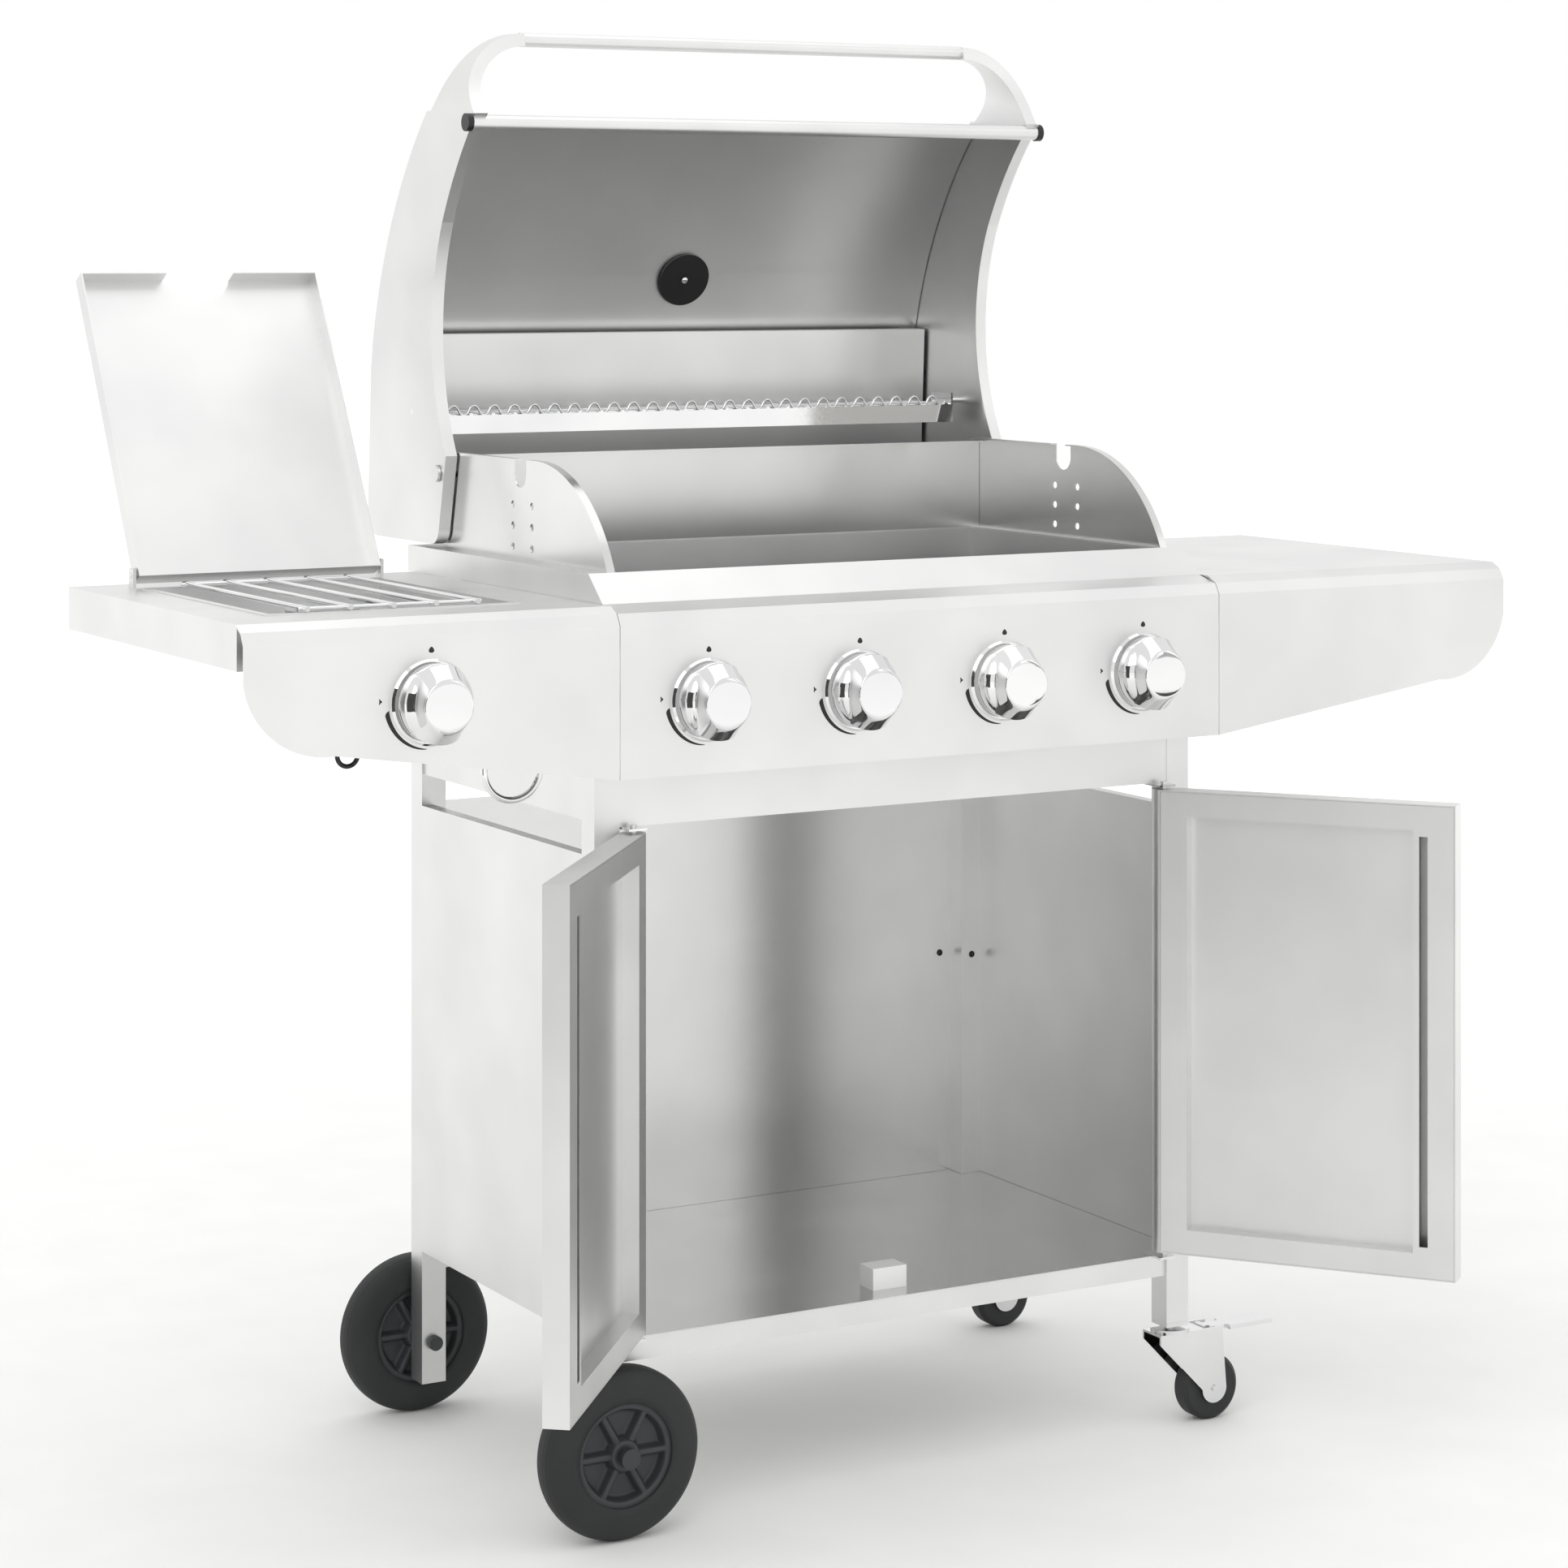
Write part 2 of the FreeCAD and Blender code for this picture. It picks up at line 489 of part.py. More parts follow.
def make_control_panel():
    """Three fascia panels, bezels, valves and the manifold with its inlet."""
    bores = {}
    for name, x, height in knob_places():
        bores[name] = rod(f"fascia_bore_{name}", (x, "-1", height), "stem_radius + 3", "fascia_wall + 2", "y")
    centre = bent_profile("centre_fold", f"-({HALF})", f"2 * ({HALF})", "rim_front - gap_fit")
    keep(cut("centre_fascia", centre, *[bores[str(number)] for number in range(1, 5)]), "fascia_centre")
    reach = f"table_span / 2 - {HALF}"
    left = common("left_face", bent_profile("left_fold", "-table_span / 2", reach, "17.5"),
                  end_blank("left_blank", "left"))
    keep(cut("left_fascia", left, bores["side"]), "fascia_left")
    keep(common("right_fascia", bent_profile("right_fold", HALF, reach, "17.5"),
                end_blank("right_blank", "right")), "fascia_right")

    bezels, valves = [], []
    for name, x, height in knob_places():
        ring = turned(f"bezel_{name}", [("stem_radius + 4", "0"), ("bezel_radius", "0"),
                                        ("bezel_radius", "1"), ("bezel_radius - 2", "bezel_depth"),
                                        ("stem_radius + 4", "bezel_depth")])
        ring.Placement = Placement(Vector(), Rotation(Vector(1, 0, 0), 180))
        bezels.append(place(ring, (x, "0", height)))
        block = box(f"valve_block_{name}", (f"{x} - 12", "valve_front", "knob_height - 12"),
                    ("24", "valve_depth", "nozzle_height - knob_height + 19"))
        bore = rod(f"valve_bore_{name}", (x, "valve_front - 1", height), "stem_radius + run_fit",
                   "stem_end - valve_front + push_travel + 2", "y")
        spigot = rod(f"valve_spigot_{name}", (x, "valve_front + valve_depth", "knob_height"), "4", "5", "y")
        nozzle = rod(f"valve_nozzle_{name}", (x, "valve_front + valve_depth", "nozzle_height"),
                     "nozzle_radius", "tub_front - valve_front - valve_depth + 8", "y")
        valves.append(cut(f"valve_{name}", fuse(f"valve_body_{name}", block, spigot, nozzle), bore))
    keep(group("bezel_rings", *bezels), "bezels")
    keep(group("valve_set", *valves), "gas_valves")

    pipe_y = "valve_front + valve_depth + manifold_radius + 0.2"
    pipe = rod("manifold_pipe", ("-(table_span / 4 + cart_width / 4 + burner_shift) - 22", pipe_y, "knob_height"), "manifold_radius",
               f"(table_span / 4 + cart_width / 4 + burner_shift) + 22 + {HALF} - leg_size - 2", "x")
    taps = [rod(f"manifold_tap_{name}", (x, "valve_front + valve_depth - 1", "knob_height"), "4 + run_fit",
                "7", "y") for name, x, height in knob_places()]
    keep(cut("manifold_tube", pipe, *taps), "manifold")
    inlet_x = f"{HALF} - leg_size - 2"
    nut = rod("inlet_nut", (inlet_x, pipe_y, "knob_height"), "11", "10", "x")
    thread = rod("inlet_thread", (f"{inlet_x} + 10", pipe_y, "knob_height"), "inlet_radius", "16", "x")
    way = rod("inlet_way", (inlet_x, pipe_y, "knob_height"), "3.5", "27", "x")
    keep(cut("inlet", fuse("inlet_body", nut, thread), way), "gas_inlet")


def make_knobs():
    """Each knob with its stem turns in a push collar that slides towards the valve."""
    for name, x, height in knob_places():
        knob = turned(f"knob_skirt_{name}", [
            ("0", "0"), ("knob_radius", "0"), ("knob_radius", "6"), ("knob_radius - 3", "12"),
            ("knob_radius - 9", "knob_depth * 0.6"), ("0", "knob_depth * 0.6")])
        knob.Placement = Placement(Vector(), Rotation(Vector(1, 0, 0), 180))
        place(knob, (x, "-knob_back", height))
        grip = rod(f"knob_grip_{name}", (x, "-knob_back - knob_depth", height), "knob_radius * 0.75",
                   "knob_depth * 0.6", "y")
        stem = rod(f"knob_stem_{name}", (x, "-knob_back - 2", height), "stem_radius",
                   "knob_back + stem_end + 2", "y")
        keep(fuse(f"knob_body_{name}", knob, grip, stem), f"knob_{name}")
        collar = rod(f"collar_ring_{name}", (x, "fascia_wall + 1", height), "stem_radius + 3.5", "6", "y")
        hole = rod(f"collar_hole_{name}", (x, "fascia_wall", height), "stem_radius + run_fit", "8", "y")
        keep(cut(f"collar_{name}", collar, hole), f"push_collar_{name}")


def tray_shelf(name, start, length):
    """A folded shelf, open underneath."""
    wall = "sheet_wall"
    outer = box(f"{name}_outer", (start, "18", "table_height - shelf_depth"),
                (length, "shelf_back - 18", "shelf_depth"))
    hollow = box(f"{name}_hollow", (f"{start} + {wall}", f"18 + {wall}", "table_height - shelf_depth - 1"),
                 (f"{length} - 2 * {wall}", f"shelf_back - 18 - 2 * {wall}", f"shelf_depth + 1 - {wall}"))
    return cut(f"{name}_tray", outer, hollow)


def make_shelves():
    """The plain right shelf, and the left one with its burner opening and lid ears."""
    length = f"table_span / 2 - {HALF} - 2.5"
    keep(tray_shelf("right_shelf", f"{HALF} + 1.5", length), "shelf_right")
    tray = tray_shelf("left_shelf", "-table_span / 2 + 1", length)
    opening = box("burner_opening", ("-(table_span / 4 + cart_width / 4 + burner_shift) - pan_width / 2", "pan_front", "table_height - 5"),
                  ("pan_width", "pan_back - pan_front", "8"))
    ears = []
    for side, edge in (("left", "-lid_width / 2 - 4.5"), ("right", "lid_width / 2 + 1.5")):
        ear = box(f"{side}_ear", (f"-(table_span / 4 + cart_width / 4 + burner_shift) {edge}" if side == "left" else f"-(table_span / 4 + cart_width / 4 + burner_shift) + {edge}",
                                  "lid_axis_y - 6", "table_height - 1"),
                  ("3", "12", "lid_axis_z - table_height + 7"))
        ears.append(ear)
    bore = rod("ear_bore", ("-(table_span / 4 + cart_width / 4 + burner_shift) - lid_width / 2 - 10", "lid_axis_y", "lid_axis_z"),
               "lid_pin + run_fit", "lid_width + 20", "x")
    keep(cut("left_shelf_bored", fuse("left_shelf_eared", cut("left_shelf_open", tray, opening), *ears), bore),
         "shelf_left")
    wire, loop = size("hook_wire"), size("hook_radius")
    level = size("fascia_bottom")
    shelf_under = size("table_height - sheet_wall")
    hook_x, ring_x, hook_y = size("-table_span / 2 + 117"), size("-(table_span / 4 + cart_width / 4 + burner_shift) + 103"), 58
    hook = Part.makeTorus(loop * 0.35, wire * 0.7, Vector(hook_x, hook_y, level + 30), Vector(0, 1, 0))
    hook = hook.fuse(Part.makeCylinder(wire, shelf_under - level - 34, Vector(hook_x, hook_y, level + 34)))
    ring = Part.makeTorus(loop, wire, Vector(ring_x, hook_y, level + 8), Vector(0, 1, 0))
    ring = ring.fuse(Part.makeCylinder(wire, shelf_under - level - 8 - loop, Vector(ring_x, hook_y, level + 8 + loop)))
    keep(group("hooks", shaped("small_hook", hook), shaped("ring_hook", ring)), "shelf_hook")


def make_side_burner():
    """Drip pan, burner head with its mixing tube, pot support and lid."""
    wall = "sheet_wall"
    x = "-(table_span / 4 + cart_width / 4 + burner_shift)"
    middle_y = "(pan_front + pan_back) / 2"
    fit = "gap_fit"
    outer = box("pan_outer", (f"{x} - pan_width / 2 + {fit}", f"pan_front + {fit}", "table_height - pan_depth"),
                (f"pan_width - 2 * {fit}", f"pan_back - pan_front - 2 * {fit}", "pan_depth"))
    brim = box("pan_brim", (f"{x} - pan_width / 2 - 5", "pan_front - 5", "table_height"),
               ("pan_width + 10", "pan_back - pan_front + 10", wall))
    hollow = box("pan_hollow", (f"{x} - pan_width / 2 + {fit} + {wall}", f"pan_front + {fit} + {wall}",
                                f"table_height - pan_depth + {wall}"),
                 (f"pan_width - 2 * {fit} - 2 * {wall}", f"pan_back - pan_front - 2 * {fit} - 2 * {wall}",
                  "pan_depth + 5"))
    throat = rod("pan_throat", (x, middle_y, "table_height - pan_depth - 1"), "16.5", "10")
    keep(cut("pan", fuse("pan_blank", outer, brim), hollow, throat), "side_burner_pan")
    riser = rod("head_riser", (x, middle_y, "nozzle_height"), "12", "table_height - pan_depth - nozzle_height + 8")
    bowl = rod("head_bowl", (x, middle_y, "table_height - pan_depth + 8"), "burner_head_radius", "9")
    crown = rod("head_crown", (x, middle_y, "table_height - pan_depth + 17"), "burner_head_radius - 9", "4")
    mixing = rod("head_tube", (x, "tub_front + 2", "nozzle_height"), "12", f"{middle_y} - tub_front - 2", "y")
    jet = rod("head_jet", (x, "tub_front", "nozzle_height"), "nozzle_radius + 1", "14", "y")
    keep(cut("head", fuse("head_body", riser, bowl, crown, mixing), jet), "side_burner_head")

    wires = []
    level = "table_height + sheet_wall + 2.8"
    for index in range(-2, 3):
        wires.append(rod(f"pot_wire_{index + 2}", (f"{x} + {index} * 40", "pan_front - 2", level), "2.5",
                         "pan_back - pan_front + 4", "y"))
    for name, cross_y in (("front", "pan_front + 6"), ("rear", "pan_back - 6")):
        wires.append(rod(f"pot_{name}_wire", (f"{x} - 86", cross_y, f"{level} - 0.5"), "2", "172", "x"))
    keep(fuse("pot_grid", *wires), "pot_support")

    lid_x = f"{x} - lid_width / 2"
    shell = box("lid_shell", (lid_x, "lid_front", "lid_bottom"),
                ("lid_width", "lid_back - lid_front", "lid_height"))
    inside = box("lid_inside", (f"{lid_x} + {wall}", f"lid_front + {wall}", "lid_bottom - 1"),
                 (f"lid_width - 2 * {wall}", f"lid_back - lid_front - 2 * {wall}", f"lid_height + 1 - {wall}"))
    notch = rod("lid_notch", (x, "lid_front - 10", "lid_bottom - 1"), "36", "lid_height + 2")
    pins = []
    for side, start in (("left", f"{lid_x} - 5"), ("right", f"{x} + lid_width / 2 - {wall}")):
        pins.append(rod(f"lid_{side}_pin", (start, "lid_axis_y", "lid_axis_z"), "lid_pin", f"5 + {wall}", "x"))
    axis = Vector(0, size("lid_axis_y"), size("lid_axis_z"))
    keep(fuse("lid_body", cut("lid_cut", shell, inside, notch), *pins), "side_burner_lid",
         (axis, Vector(1, 0, 0), -size("lid_open")))


# ---------------------------------------------------------------- firebox
def make_firebox():
    """Tub with ledges and tray runners, rim, arched ends, back plate and what lies inside."""
    wall = "tub_wall"
    half = "tub_width / 2"
    rim_top = "table_height + rim_height"
    rim_wall = "sheet_wall"
    depth = "tub_back - tub_front"
    tub_top = f"{rim_top} - {rim_wall} - 0.2"
    outer = box("tub_outer", (f"-{half}", "tub_front", "tub_bottom"), ("tub_width", depth, f"{tub_top} - tub_bottom"))
    hollow = box("tub_hollow", (f"-{half} + {wall}", f"tub_front + {wall}", f"tub_bottom + {wall}"),
                 (f"tub_width - 2 * {wall}", f"{depth} - 2 * {wall}", "rim_height + 200"))
    drain = box("tub_drain", ("-tray_width / 3", "tray_front + 60", "tub_bottom - 1"),
                ("tray_width / 1.5", "140", f"{wall} + 2"))
    jets = [rod(f"tub_jet_{name}", (x, "tub_front - 1", "nozzle_height"), "nozzle_radius + 1", "4", "y")
            for name, x, height in knob_places() if name != "side"]
    pan = cut("tub_open", outer, hollow, drain, *jets)
    ledges = []
    for name, top, reach in (("grate", "grate_top - 2 * grate_rod", "10"), ("tamer", "grate_top - 44", "8"),
                             ("burner", "nozzle_height - burner_radius", "22")):
        front_top = top if name != "burner" else "nozzle_height - 12"
        front_reach = reach if name != "burner" else "6"
        ledges.append(box(f"{name}_ledge_front", (f"-{half} + 1", f"tub_front + {wall} - 0.5", f"{front_top} - 1.5"),
                          ("tub_width - 2", front_reach, "1.5")))
        ledges.append(box(f"{name}_ledge_back", (f"-{half} + 1", f"tub_back - {wall} + 0.5 - {reach}", f"{top} - 1.5"),
                          ("tub_width - 2", reach, "1.5")))
    for side, web, lip in (("left", "-tray_width / 2 - 2", "-tray_width / 2 - 2"),
                           ("right", "tray_width / 2 + 0.8", "tray_width / 2 - 10")):
        ledges.append(box(f"{side}_runner_web", (web, "tray_front", "tray_bottom - 1.6"),
                          ("1.2", "tub_back - tray_front", "tub_bottom - tray_bottom + 1.6")))
        ledges.append(box(f"{side}_runner_lip", (lip, "tray_front", "tray_bottom - 1.6"),
                          ("12", "tub_back - tray_front", "1.2")))
    for side, edge in (("left", f"-{half} - 9"), ("right", half)):
        ledges.append(box(f"{side}_tub_brim", (edge, "tub_front", f"{tub_top} - 1.2"), ("9", depth, "1.2")))
    keep(fuse("tub", pan, *ledges), "firebox_tub")

    low = "table_height"
    outer_rim = rim_prism("rim_outer", "0")
    inner_rim = rim_prism("rim_inner", rim_wall)
    opening = box("rim_opening", (f"-{half} - 0.3", "tub_front - 0.3", low),
                  ("tub_width + 0.6", f"{depth} + 0.6", "rim_height + 5"))
    keep(cut("rim", outer_rim, inner_rim, opening), "firebox_rim")

    plate_y = "tub_back + 0.6"
    back = box("back_plate_face", ("-end_x + 0.3", plate_y, rim_top),
               ("2 * end_x - 0.6", rim_wall, "end_height - 3"))
    curl = box("back_plate_curl", ("-end_x + 0.3", f"{plate_y} - 9", f"{rim_top} + end_height - 4.2"),
               ("2 * end_x - 0.6", "9", rim_wall))
    keep(fuse("back_plate", back, curl), "firebox_back")
    for side in ("left", "right"):
        make_end_plate(side)
    make_inside(half, wall)


def rim_prism(name, inset):
    """The rim's section (bevelled front, flat top, straight back) carried along x, moved in by inset."""
    bevel, tall = "rim_bevel", "rim_height"
    long = "rim_back - rim_front"
    if inset == "0":
        section = [("0", "0"), (bevel, tall), (long, tall), (long, "0")]
        drop = "table_height"
    else:
        section = [(f"1.6 * {inset}", "0"), (f"{bevel} + {inset} / 2", f"{tall} - {inset} + 1"),
                   (f"{long} - {inset}", f"{tall} - {inset} + 1"), (f"{long} - {inset}", "0")]
        drop = "table_height - 1"
    host = padded(name, section, f"rim_width - 2 * {inset}")
    host.Placement = Placement(Vector(), Rotation(Vector(0, 1, 0), Vector(0, 0, 1), Vector(1, 0, 0), "XYZ"))
    return place(host, (f"-rim_width / 2 + {inset}", "rim_front", drop))


def make_end_plate(side):
    """An arched end plate with a turned-in lip, a spit notch and six bracket holes."""
    front = size("rim_front + rim_bevel")
    base = size("table_height + rim_height")
    high = size("end_height")
    radius = size("end_radius")
    back = size("end_back")
    middle = front + math.sqrt(radius ** 2 - (radius - high) ** 2)
    lip = 8

    def arch(inset):
        """The arched outline, its curve and top moved in by inset."""
        arc_radius = radius - inset
        foot = middle - math.sqrt(arc_radius ** 2 - (radius - high) ** 2)
        bend = math.radians(118)
        centre_z = base + high - radius
        points = [Vector(0, foot, base), Vector(0, middle + arc_radius * math.cos(bend + 0.35),
                                                centre_z + arc_radius * math.sin(bend + 0.35)),
                  Vector(0, middle, base + high - inset), Vector(0, back - inset, base + high - inset),
                  Vector(0, back - inset, base)]
        edges = [Part.Arc(points[0], points[1], points[2]).toShape()]
        edges += [Part.LineSegment(points[index], points[(index + 1) % 5]).toShape() for index in (2, 3, 4)]
        return Part.Face(Part.Wire(edges))

    wall = size("end_wall")
    solid = arch(0).extrude(Vector(lip, 0, 0)).cut(arch(wall).extrude(Vector(lip, 0, 0)).translated(
        Vector(0 if side == "right" else wall, 0, 0)).common(Part.makeBox(lip - wall, 900, 2000).translated(
            Vector(0 if side == "right" else wall, 0, 0))))
    blank = shaped(f"{side}_end_blank", solid)
    start = "-end_x - end_wall" if side == "left" else f"end_x + end_wall - {lip}"
    bind(blank, Placement__Base__x=start)
    tools = []
    top = "table_height + rim_height + end_height"
    x_low = "-end_x - 12" if side == "left" else "end_x - 12"
    tools.append(box(f"{side}_notch_slot", (x_low, "notch_y - notch_width / 2", f"{top} - notch_depth + notch_width / 2"),
                     ("24", "notch_width", "notch_depth")))
    tools.append(rod(f"{side}_notch_round", (x_low, "notch_y", f"{top} - notch_depth + notch_width / 2"),
                     "notch_width / 2", "24", "x"))
    for row in range(3):
        for column in (-0.5, 0.5):
            tools.append(rod(f"{side}_spit_hole", (x_low, f"notch_y - 5 + {column} * spit_pitch_y",
                                                   f"{top} - 61.5 + {1 - row} * spit_pitch_z"),
                             "spit_hole_radius", "24", "x"))
    start, head = (("-hood_width / 2 - 3", "-hood_width / 2 - 3.4") if side == "left"
                   else ("end_x + 0.2", "hood_width / 2 + 0.4"))
    pin = rod(f"{side}_hood_shank", (start, "hood_axis_y", "hood_axis_z"), "hood_pin", "hood_width / 2 - end_x + 2.8", "x")
    washer = rod(f"{side}_hood_head", (head, "hood_axis_y", "hood_axis_z"), "8", "3", "x")
    keep(fuse(f"{side}_end_plate", cut(f"{side}_end_sheet", blank, *tools), pin, washer), f"firebox_end_{side}")


def make_inside(half, wall):
    """Grates, flame tamers, burners and the drip tray."""
    rods = []
    count = 15
    for number, (edge, width) in enumerate(((f"-{half} + {wall} + 2", f"{half} - {wall} - 4"),
                                            ("2", f"{half} - {wall} - 4"))):
        bars = [rod(f"grate_{number}_bar_{index}",
                    (f"{edge} + grate_rod + {index} * ({width} - 2 * grate_rod) / {count - 1}",
                     f"tub_front + {wall} + 1", "grate_top - grate_rod"),
                    "grate_rod", f"tub_back - tub_front - 2 * {wall} - 2", "y") for index in range(count)]
        for cross, cross_y in enumerate(("tub_front + 14", "(tub_front + tub_back) / 2", "tub_back - 14")):
            bars.append(rod(f"grate_{number}_cross_{cross}", (edge, cross_y, "grate_top - grate_rod"),
                            "grate_rod * 0.8", width, "x"))
        rods.append(fuse(f"grate_{number}", *bars))
    keep(group("grate_pair", *rods), "grates")

    tamers, burners = [], []
    for name, x, height in knob_places():
        if name == "side":
            continue
        section = [("0", "0"), ("48", "30"), ("96", "0"), ("93.6", "0"), ("48", "28.5"), ("2.4", "0")]
        tamer = padded(f"tamer_{name}", section, f"tub_back - tub_front - 2 * {wall} - 4")
        tamers.append(standing(tamer, (f"{x} - 48", f"tub_back - {wall} - 2", "grate_top - 44")))
        start = f"tub_front + {wall} + 1"
        throat = rod(f"burner_throat_{name}", (x, start, "nozzle_height"), "12", "48", "y")
        barrel = rod(f"burner_barrel_{name}", (x, "tub_front + 48", "nozzle_height"), "burner_radius",
                     "burner_back - tub_front - 48", "y")
        inner = rod(f"burner_inner_{name}", (x, "tub_front + 49.2", "nozzle_height"), "burner_radius - 1.2",
                    "burner_back - tub_front - 50.4", "y")
        mouth = rod(f"burner_mouth_{name}", (x, f"{start} - 1", "nozzle_height"), "10.8", "60", "y")
        burners.append(cut(f"burner_{name}", fuse(f"burner_body_{name}", throat, barrel), inner, mouth))
    keep(group("tamer_set", *tamers), "flame_tamers")
    keep(group("burner_set", *burners), "burners")

    fit = "tray_wall"
    shell = box("tray_shell", ("-tray_width / 2", "tray_front", "tray_bottom"),
                ("tray_width", "tray_back - tray_front", "tray_height"))
    inside = box("tray_inside", (f"-tray_width / 2 + {fit}", f"tray_front + {fit}", f"tray_bottom + {fit}"),
                 (f"tray_width - 2 * {fit}", f"tray_back - tray_front - 2 * {fit}", "tray_height"))
    pull = box("tray_pull", ("-45", "tray_back", "tray_bottom"), ("90", "14", f"{fit}"))
    keep(fuse("tray", cut("tray_open", shell, inside), pull), "drip_tray")


# ---------------------------------------------------------------- hood
def hood_outline():
    """The closed hood seen from its end: domed top, square back, rim arched over the end plates."""
    front = size("hood_front")
    p = [Vector(0, front, 958), Vector(0, 168, 1043), Vector(0, 300, 1080), Vector(0, 440, 1080),
         Vector(0, 459, 1073), Vector(0, 466, 1054), Vector(0, 459, 926), Vector(0, 454, 915), Vector(0, 442, 910),
         Vector(0, 372, 898), Vector(0, 262, 936), Vector(0, 150, 918), Vector(0, 98, 889), Vector(0, front, 846)]
    return [Part.Arc(p[0], p[1], p[2]), Part.LineSegment(p[2], p[3]), Part.Arc(p[3], p[4], p[5]),
            Part.LineSegment(p[5], p[6]), Part.Arc(p[6], p[7], p[8]), Part.LineSegment(p[8], p[9]),
            Part.Arc(p[9], p[10], p[11]), Part.Arc(p[11], p[12], p[13]), Part.LineSegment(p[13], p[0])]


def hood_slab(inset, start, length):
    """The outline moved in by inset and carried along x."""
    wire = Part.Wire([curve.toShape() for curve in hood_outline()])
    face = Part.Face(wire)
    if inset:
        face = face.makeOffset2D(-inset)
    return face.extrude(Vector(length, 0, 0)).translated(Vector(start, 0, 0))


def hood_swing():
    """The hinge line and the angle from closed to open."""
    return (Vector(0, size("hood_axis_y"), size("hood_axis_z")), Vector(1, 0, 0), -size("hood_open"))


def rack_pin_closed():
    """Where the warming rack's pins sit in the closed hood: y and z."""
    turn = math.radians(size("hood_open"))
    dy, dz = size("rack_y - hood_axis_y"), size("rack_z - hood_axis_z")
    return (size("hood_axis_y") + dy * math.cos(turn) - dz * math.sin(turn),
            size("hood_axis_z") + dy * math.sin(turn) + dz * math.cos(turn))


def make_hood():
    """Skin, liner, end caps, handle, lip bar with plugs, thermometer and the pins on the end plates."""
    half = size("hood_width / 2")
    depth, wall, skin = size("cap_depth"), size("cap_wall"), size("skin_wall")
    rack_y, rack_z = rack_pin_closed()
    along = Vector(1, 0, 0)
    fit = size("run_fit")
    for side, start in (("left", -half), ("right", half - depth)):
        shift = wall if side == "left" else 0
        cap = hood_slab(0, start, depth).cut(hood_slab(wall, start + shift, depth - wall))
        for radius, y, z in ((size("hood_pin") + fit, size("hood_axis_y"), size("hood_axis_z")),
                             (size("rack_pin") + fit, rack_y, rack_z),
                             (size("lip_radius") + 0.2, size("lip_y"), size("lip_z"))):
            cap = cap.cut(Part.makeCylinder(radius, depth + 2, Vector(start - 1, y, z), along))
        keep(shaped(f"{side}_hood_cap", cap), f"hood_cap_{side}", hood_swing())

    reach = half - wall - 0.8
    gap = wall + 0.5
    shell = hood_slab(gap, -reach, 2 * reach).cut(hood_slab(gap + skin, -reach - 1, 2 * reach + 2))
    kept = Part.makePolygon([Vector(-reach - 1, y, z) for y, z in (
        (40, 868), (56, 868), (56, 942), (432, 942), (432, 930), (480, 930), (480, 1100), (40, 1100), (40, 868))])
    shell = shell.common(Part.Face(kept).extrude(Vector(2 * reach + 2, 0, 0)))
    dial = Part.Arc(*[Vector(0, y, z) for y, z in ((size("hood_front"), 958), (168, 1043), (300, 1080))])
    ring = dial.toShape().Curve
    centre = ring.Center
    spot = Vector(size("thermometer_x"), 211, centre.z + math.sqrt(ring.Radius ** 2 - (211 - centre.y) ** 2))
    outward = Vector(0, spot.y - centre.y, spot.z - centre.z).normalize()
    bore = Part.makeCylinder(5.2, 40, spot - outward * 20, outward)

    disc = Part.makeCylinder(size("thermometer_radius"), 3, spot - outward * (gap + skin + 4.8), outward)
    stem = Part.makeCylinder(5, 17, spot - outward * (gap + skin + 5.5), outward)
    face = Part.makeCylinder(size("thermometer_radius") + 4, 9, spot - outward * (gap - 0.3), outward)
    keep(shaped("thermometer_body", disc.fuse([stem, face]).removeSplitter()), "thermometer", hood_swing())

    flat = box("liner_flat", (f"-hood_width / 2 + cap_wall + 3", "267", "1048"),
               ("hood_width - 2 * cap_wall - 6", "175", "skin_wall"))
    bend = box("liner_bend", (f"-hood_width / 2 + cap_wall + 3", "267", "1048"),
               ("hood_width - 2 * cap_wall - 6", "skin_wall", "14"))
    keep(group("skin_set", shaped("skin_shell", shell.cut(bore)), fuse("liner", flat, bend)), "hood_skin", hood_swing())

    bar = rod("lip_tube", ("-hood_width / 2 - 1", "lip_y", "lip_z"), "lip_radius", "hood_width + 2", "x")
    keep(bar, "lip_bar", hood_swing())
    plugs = [rod(f"lip_plug_{side}", (start, "lip_y", "lip_z"), "lip_radius + 1", "6", "x")
             for side, start in (("left", "-hood_width / 2 - 7"), ("right", "hood_width / 2 + 1"))]
    keep(group("lip_plugs", *plugs), "lip_bar_plugs", hood_swing())
    make_handle()


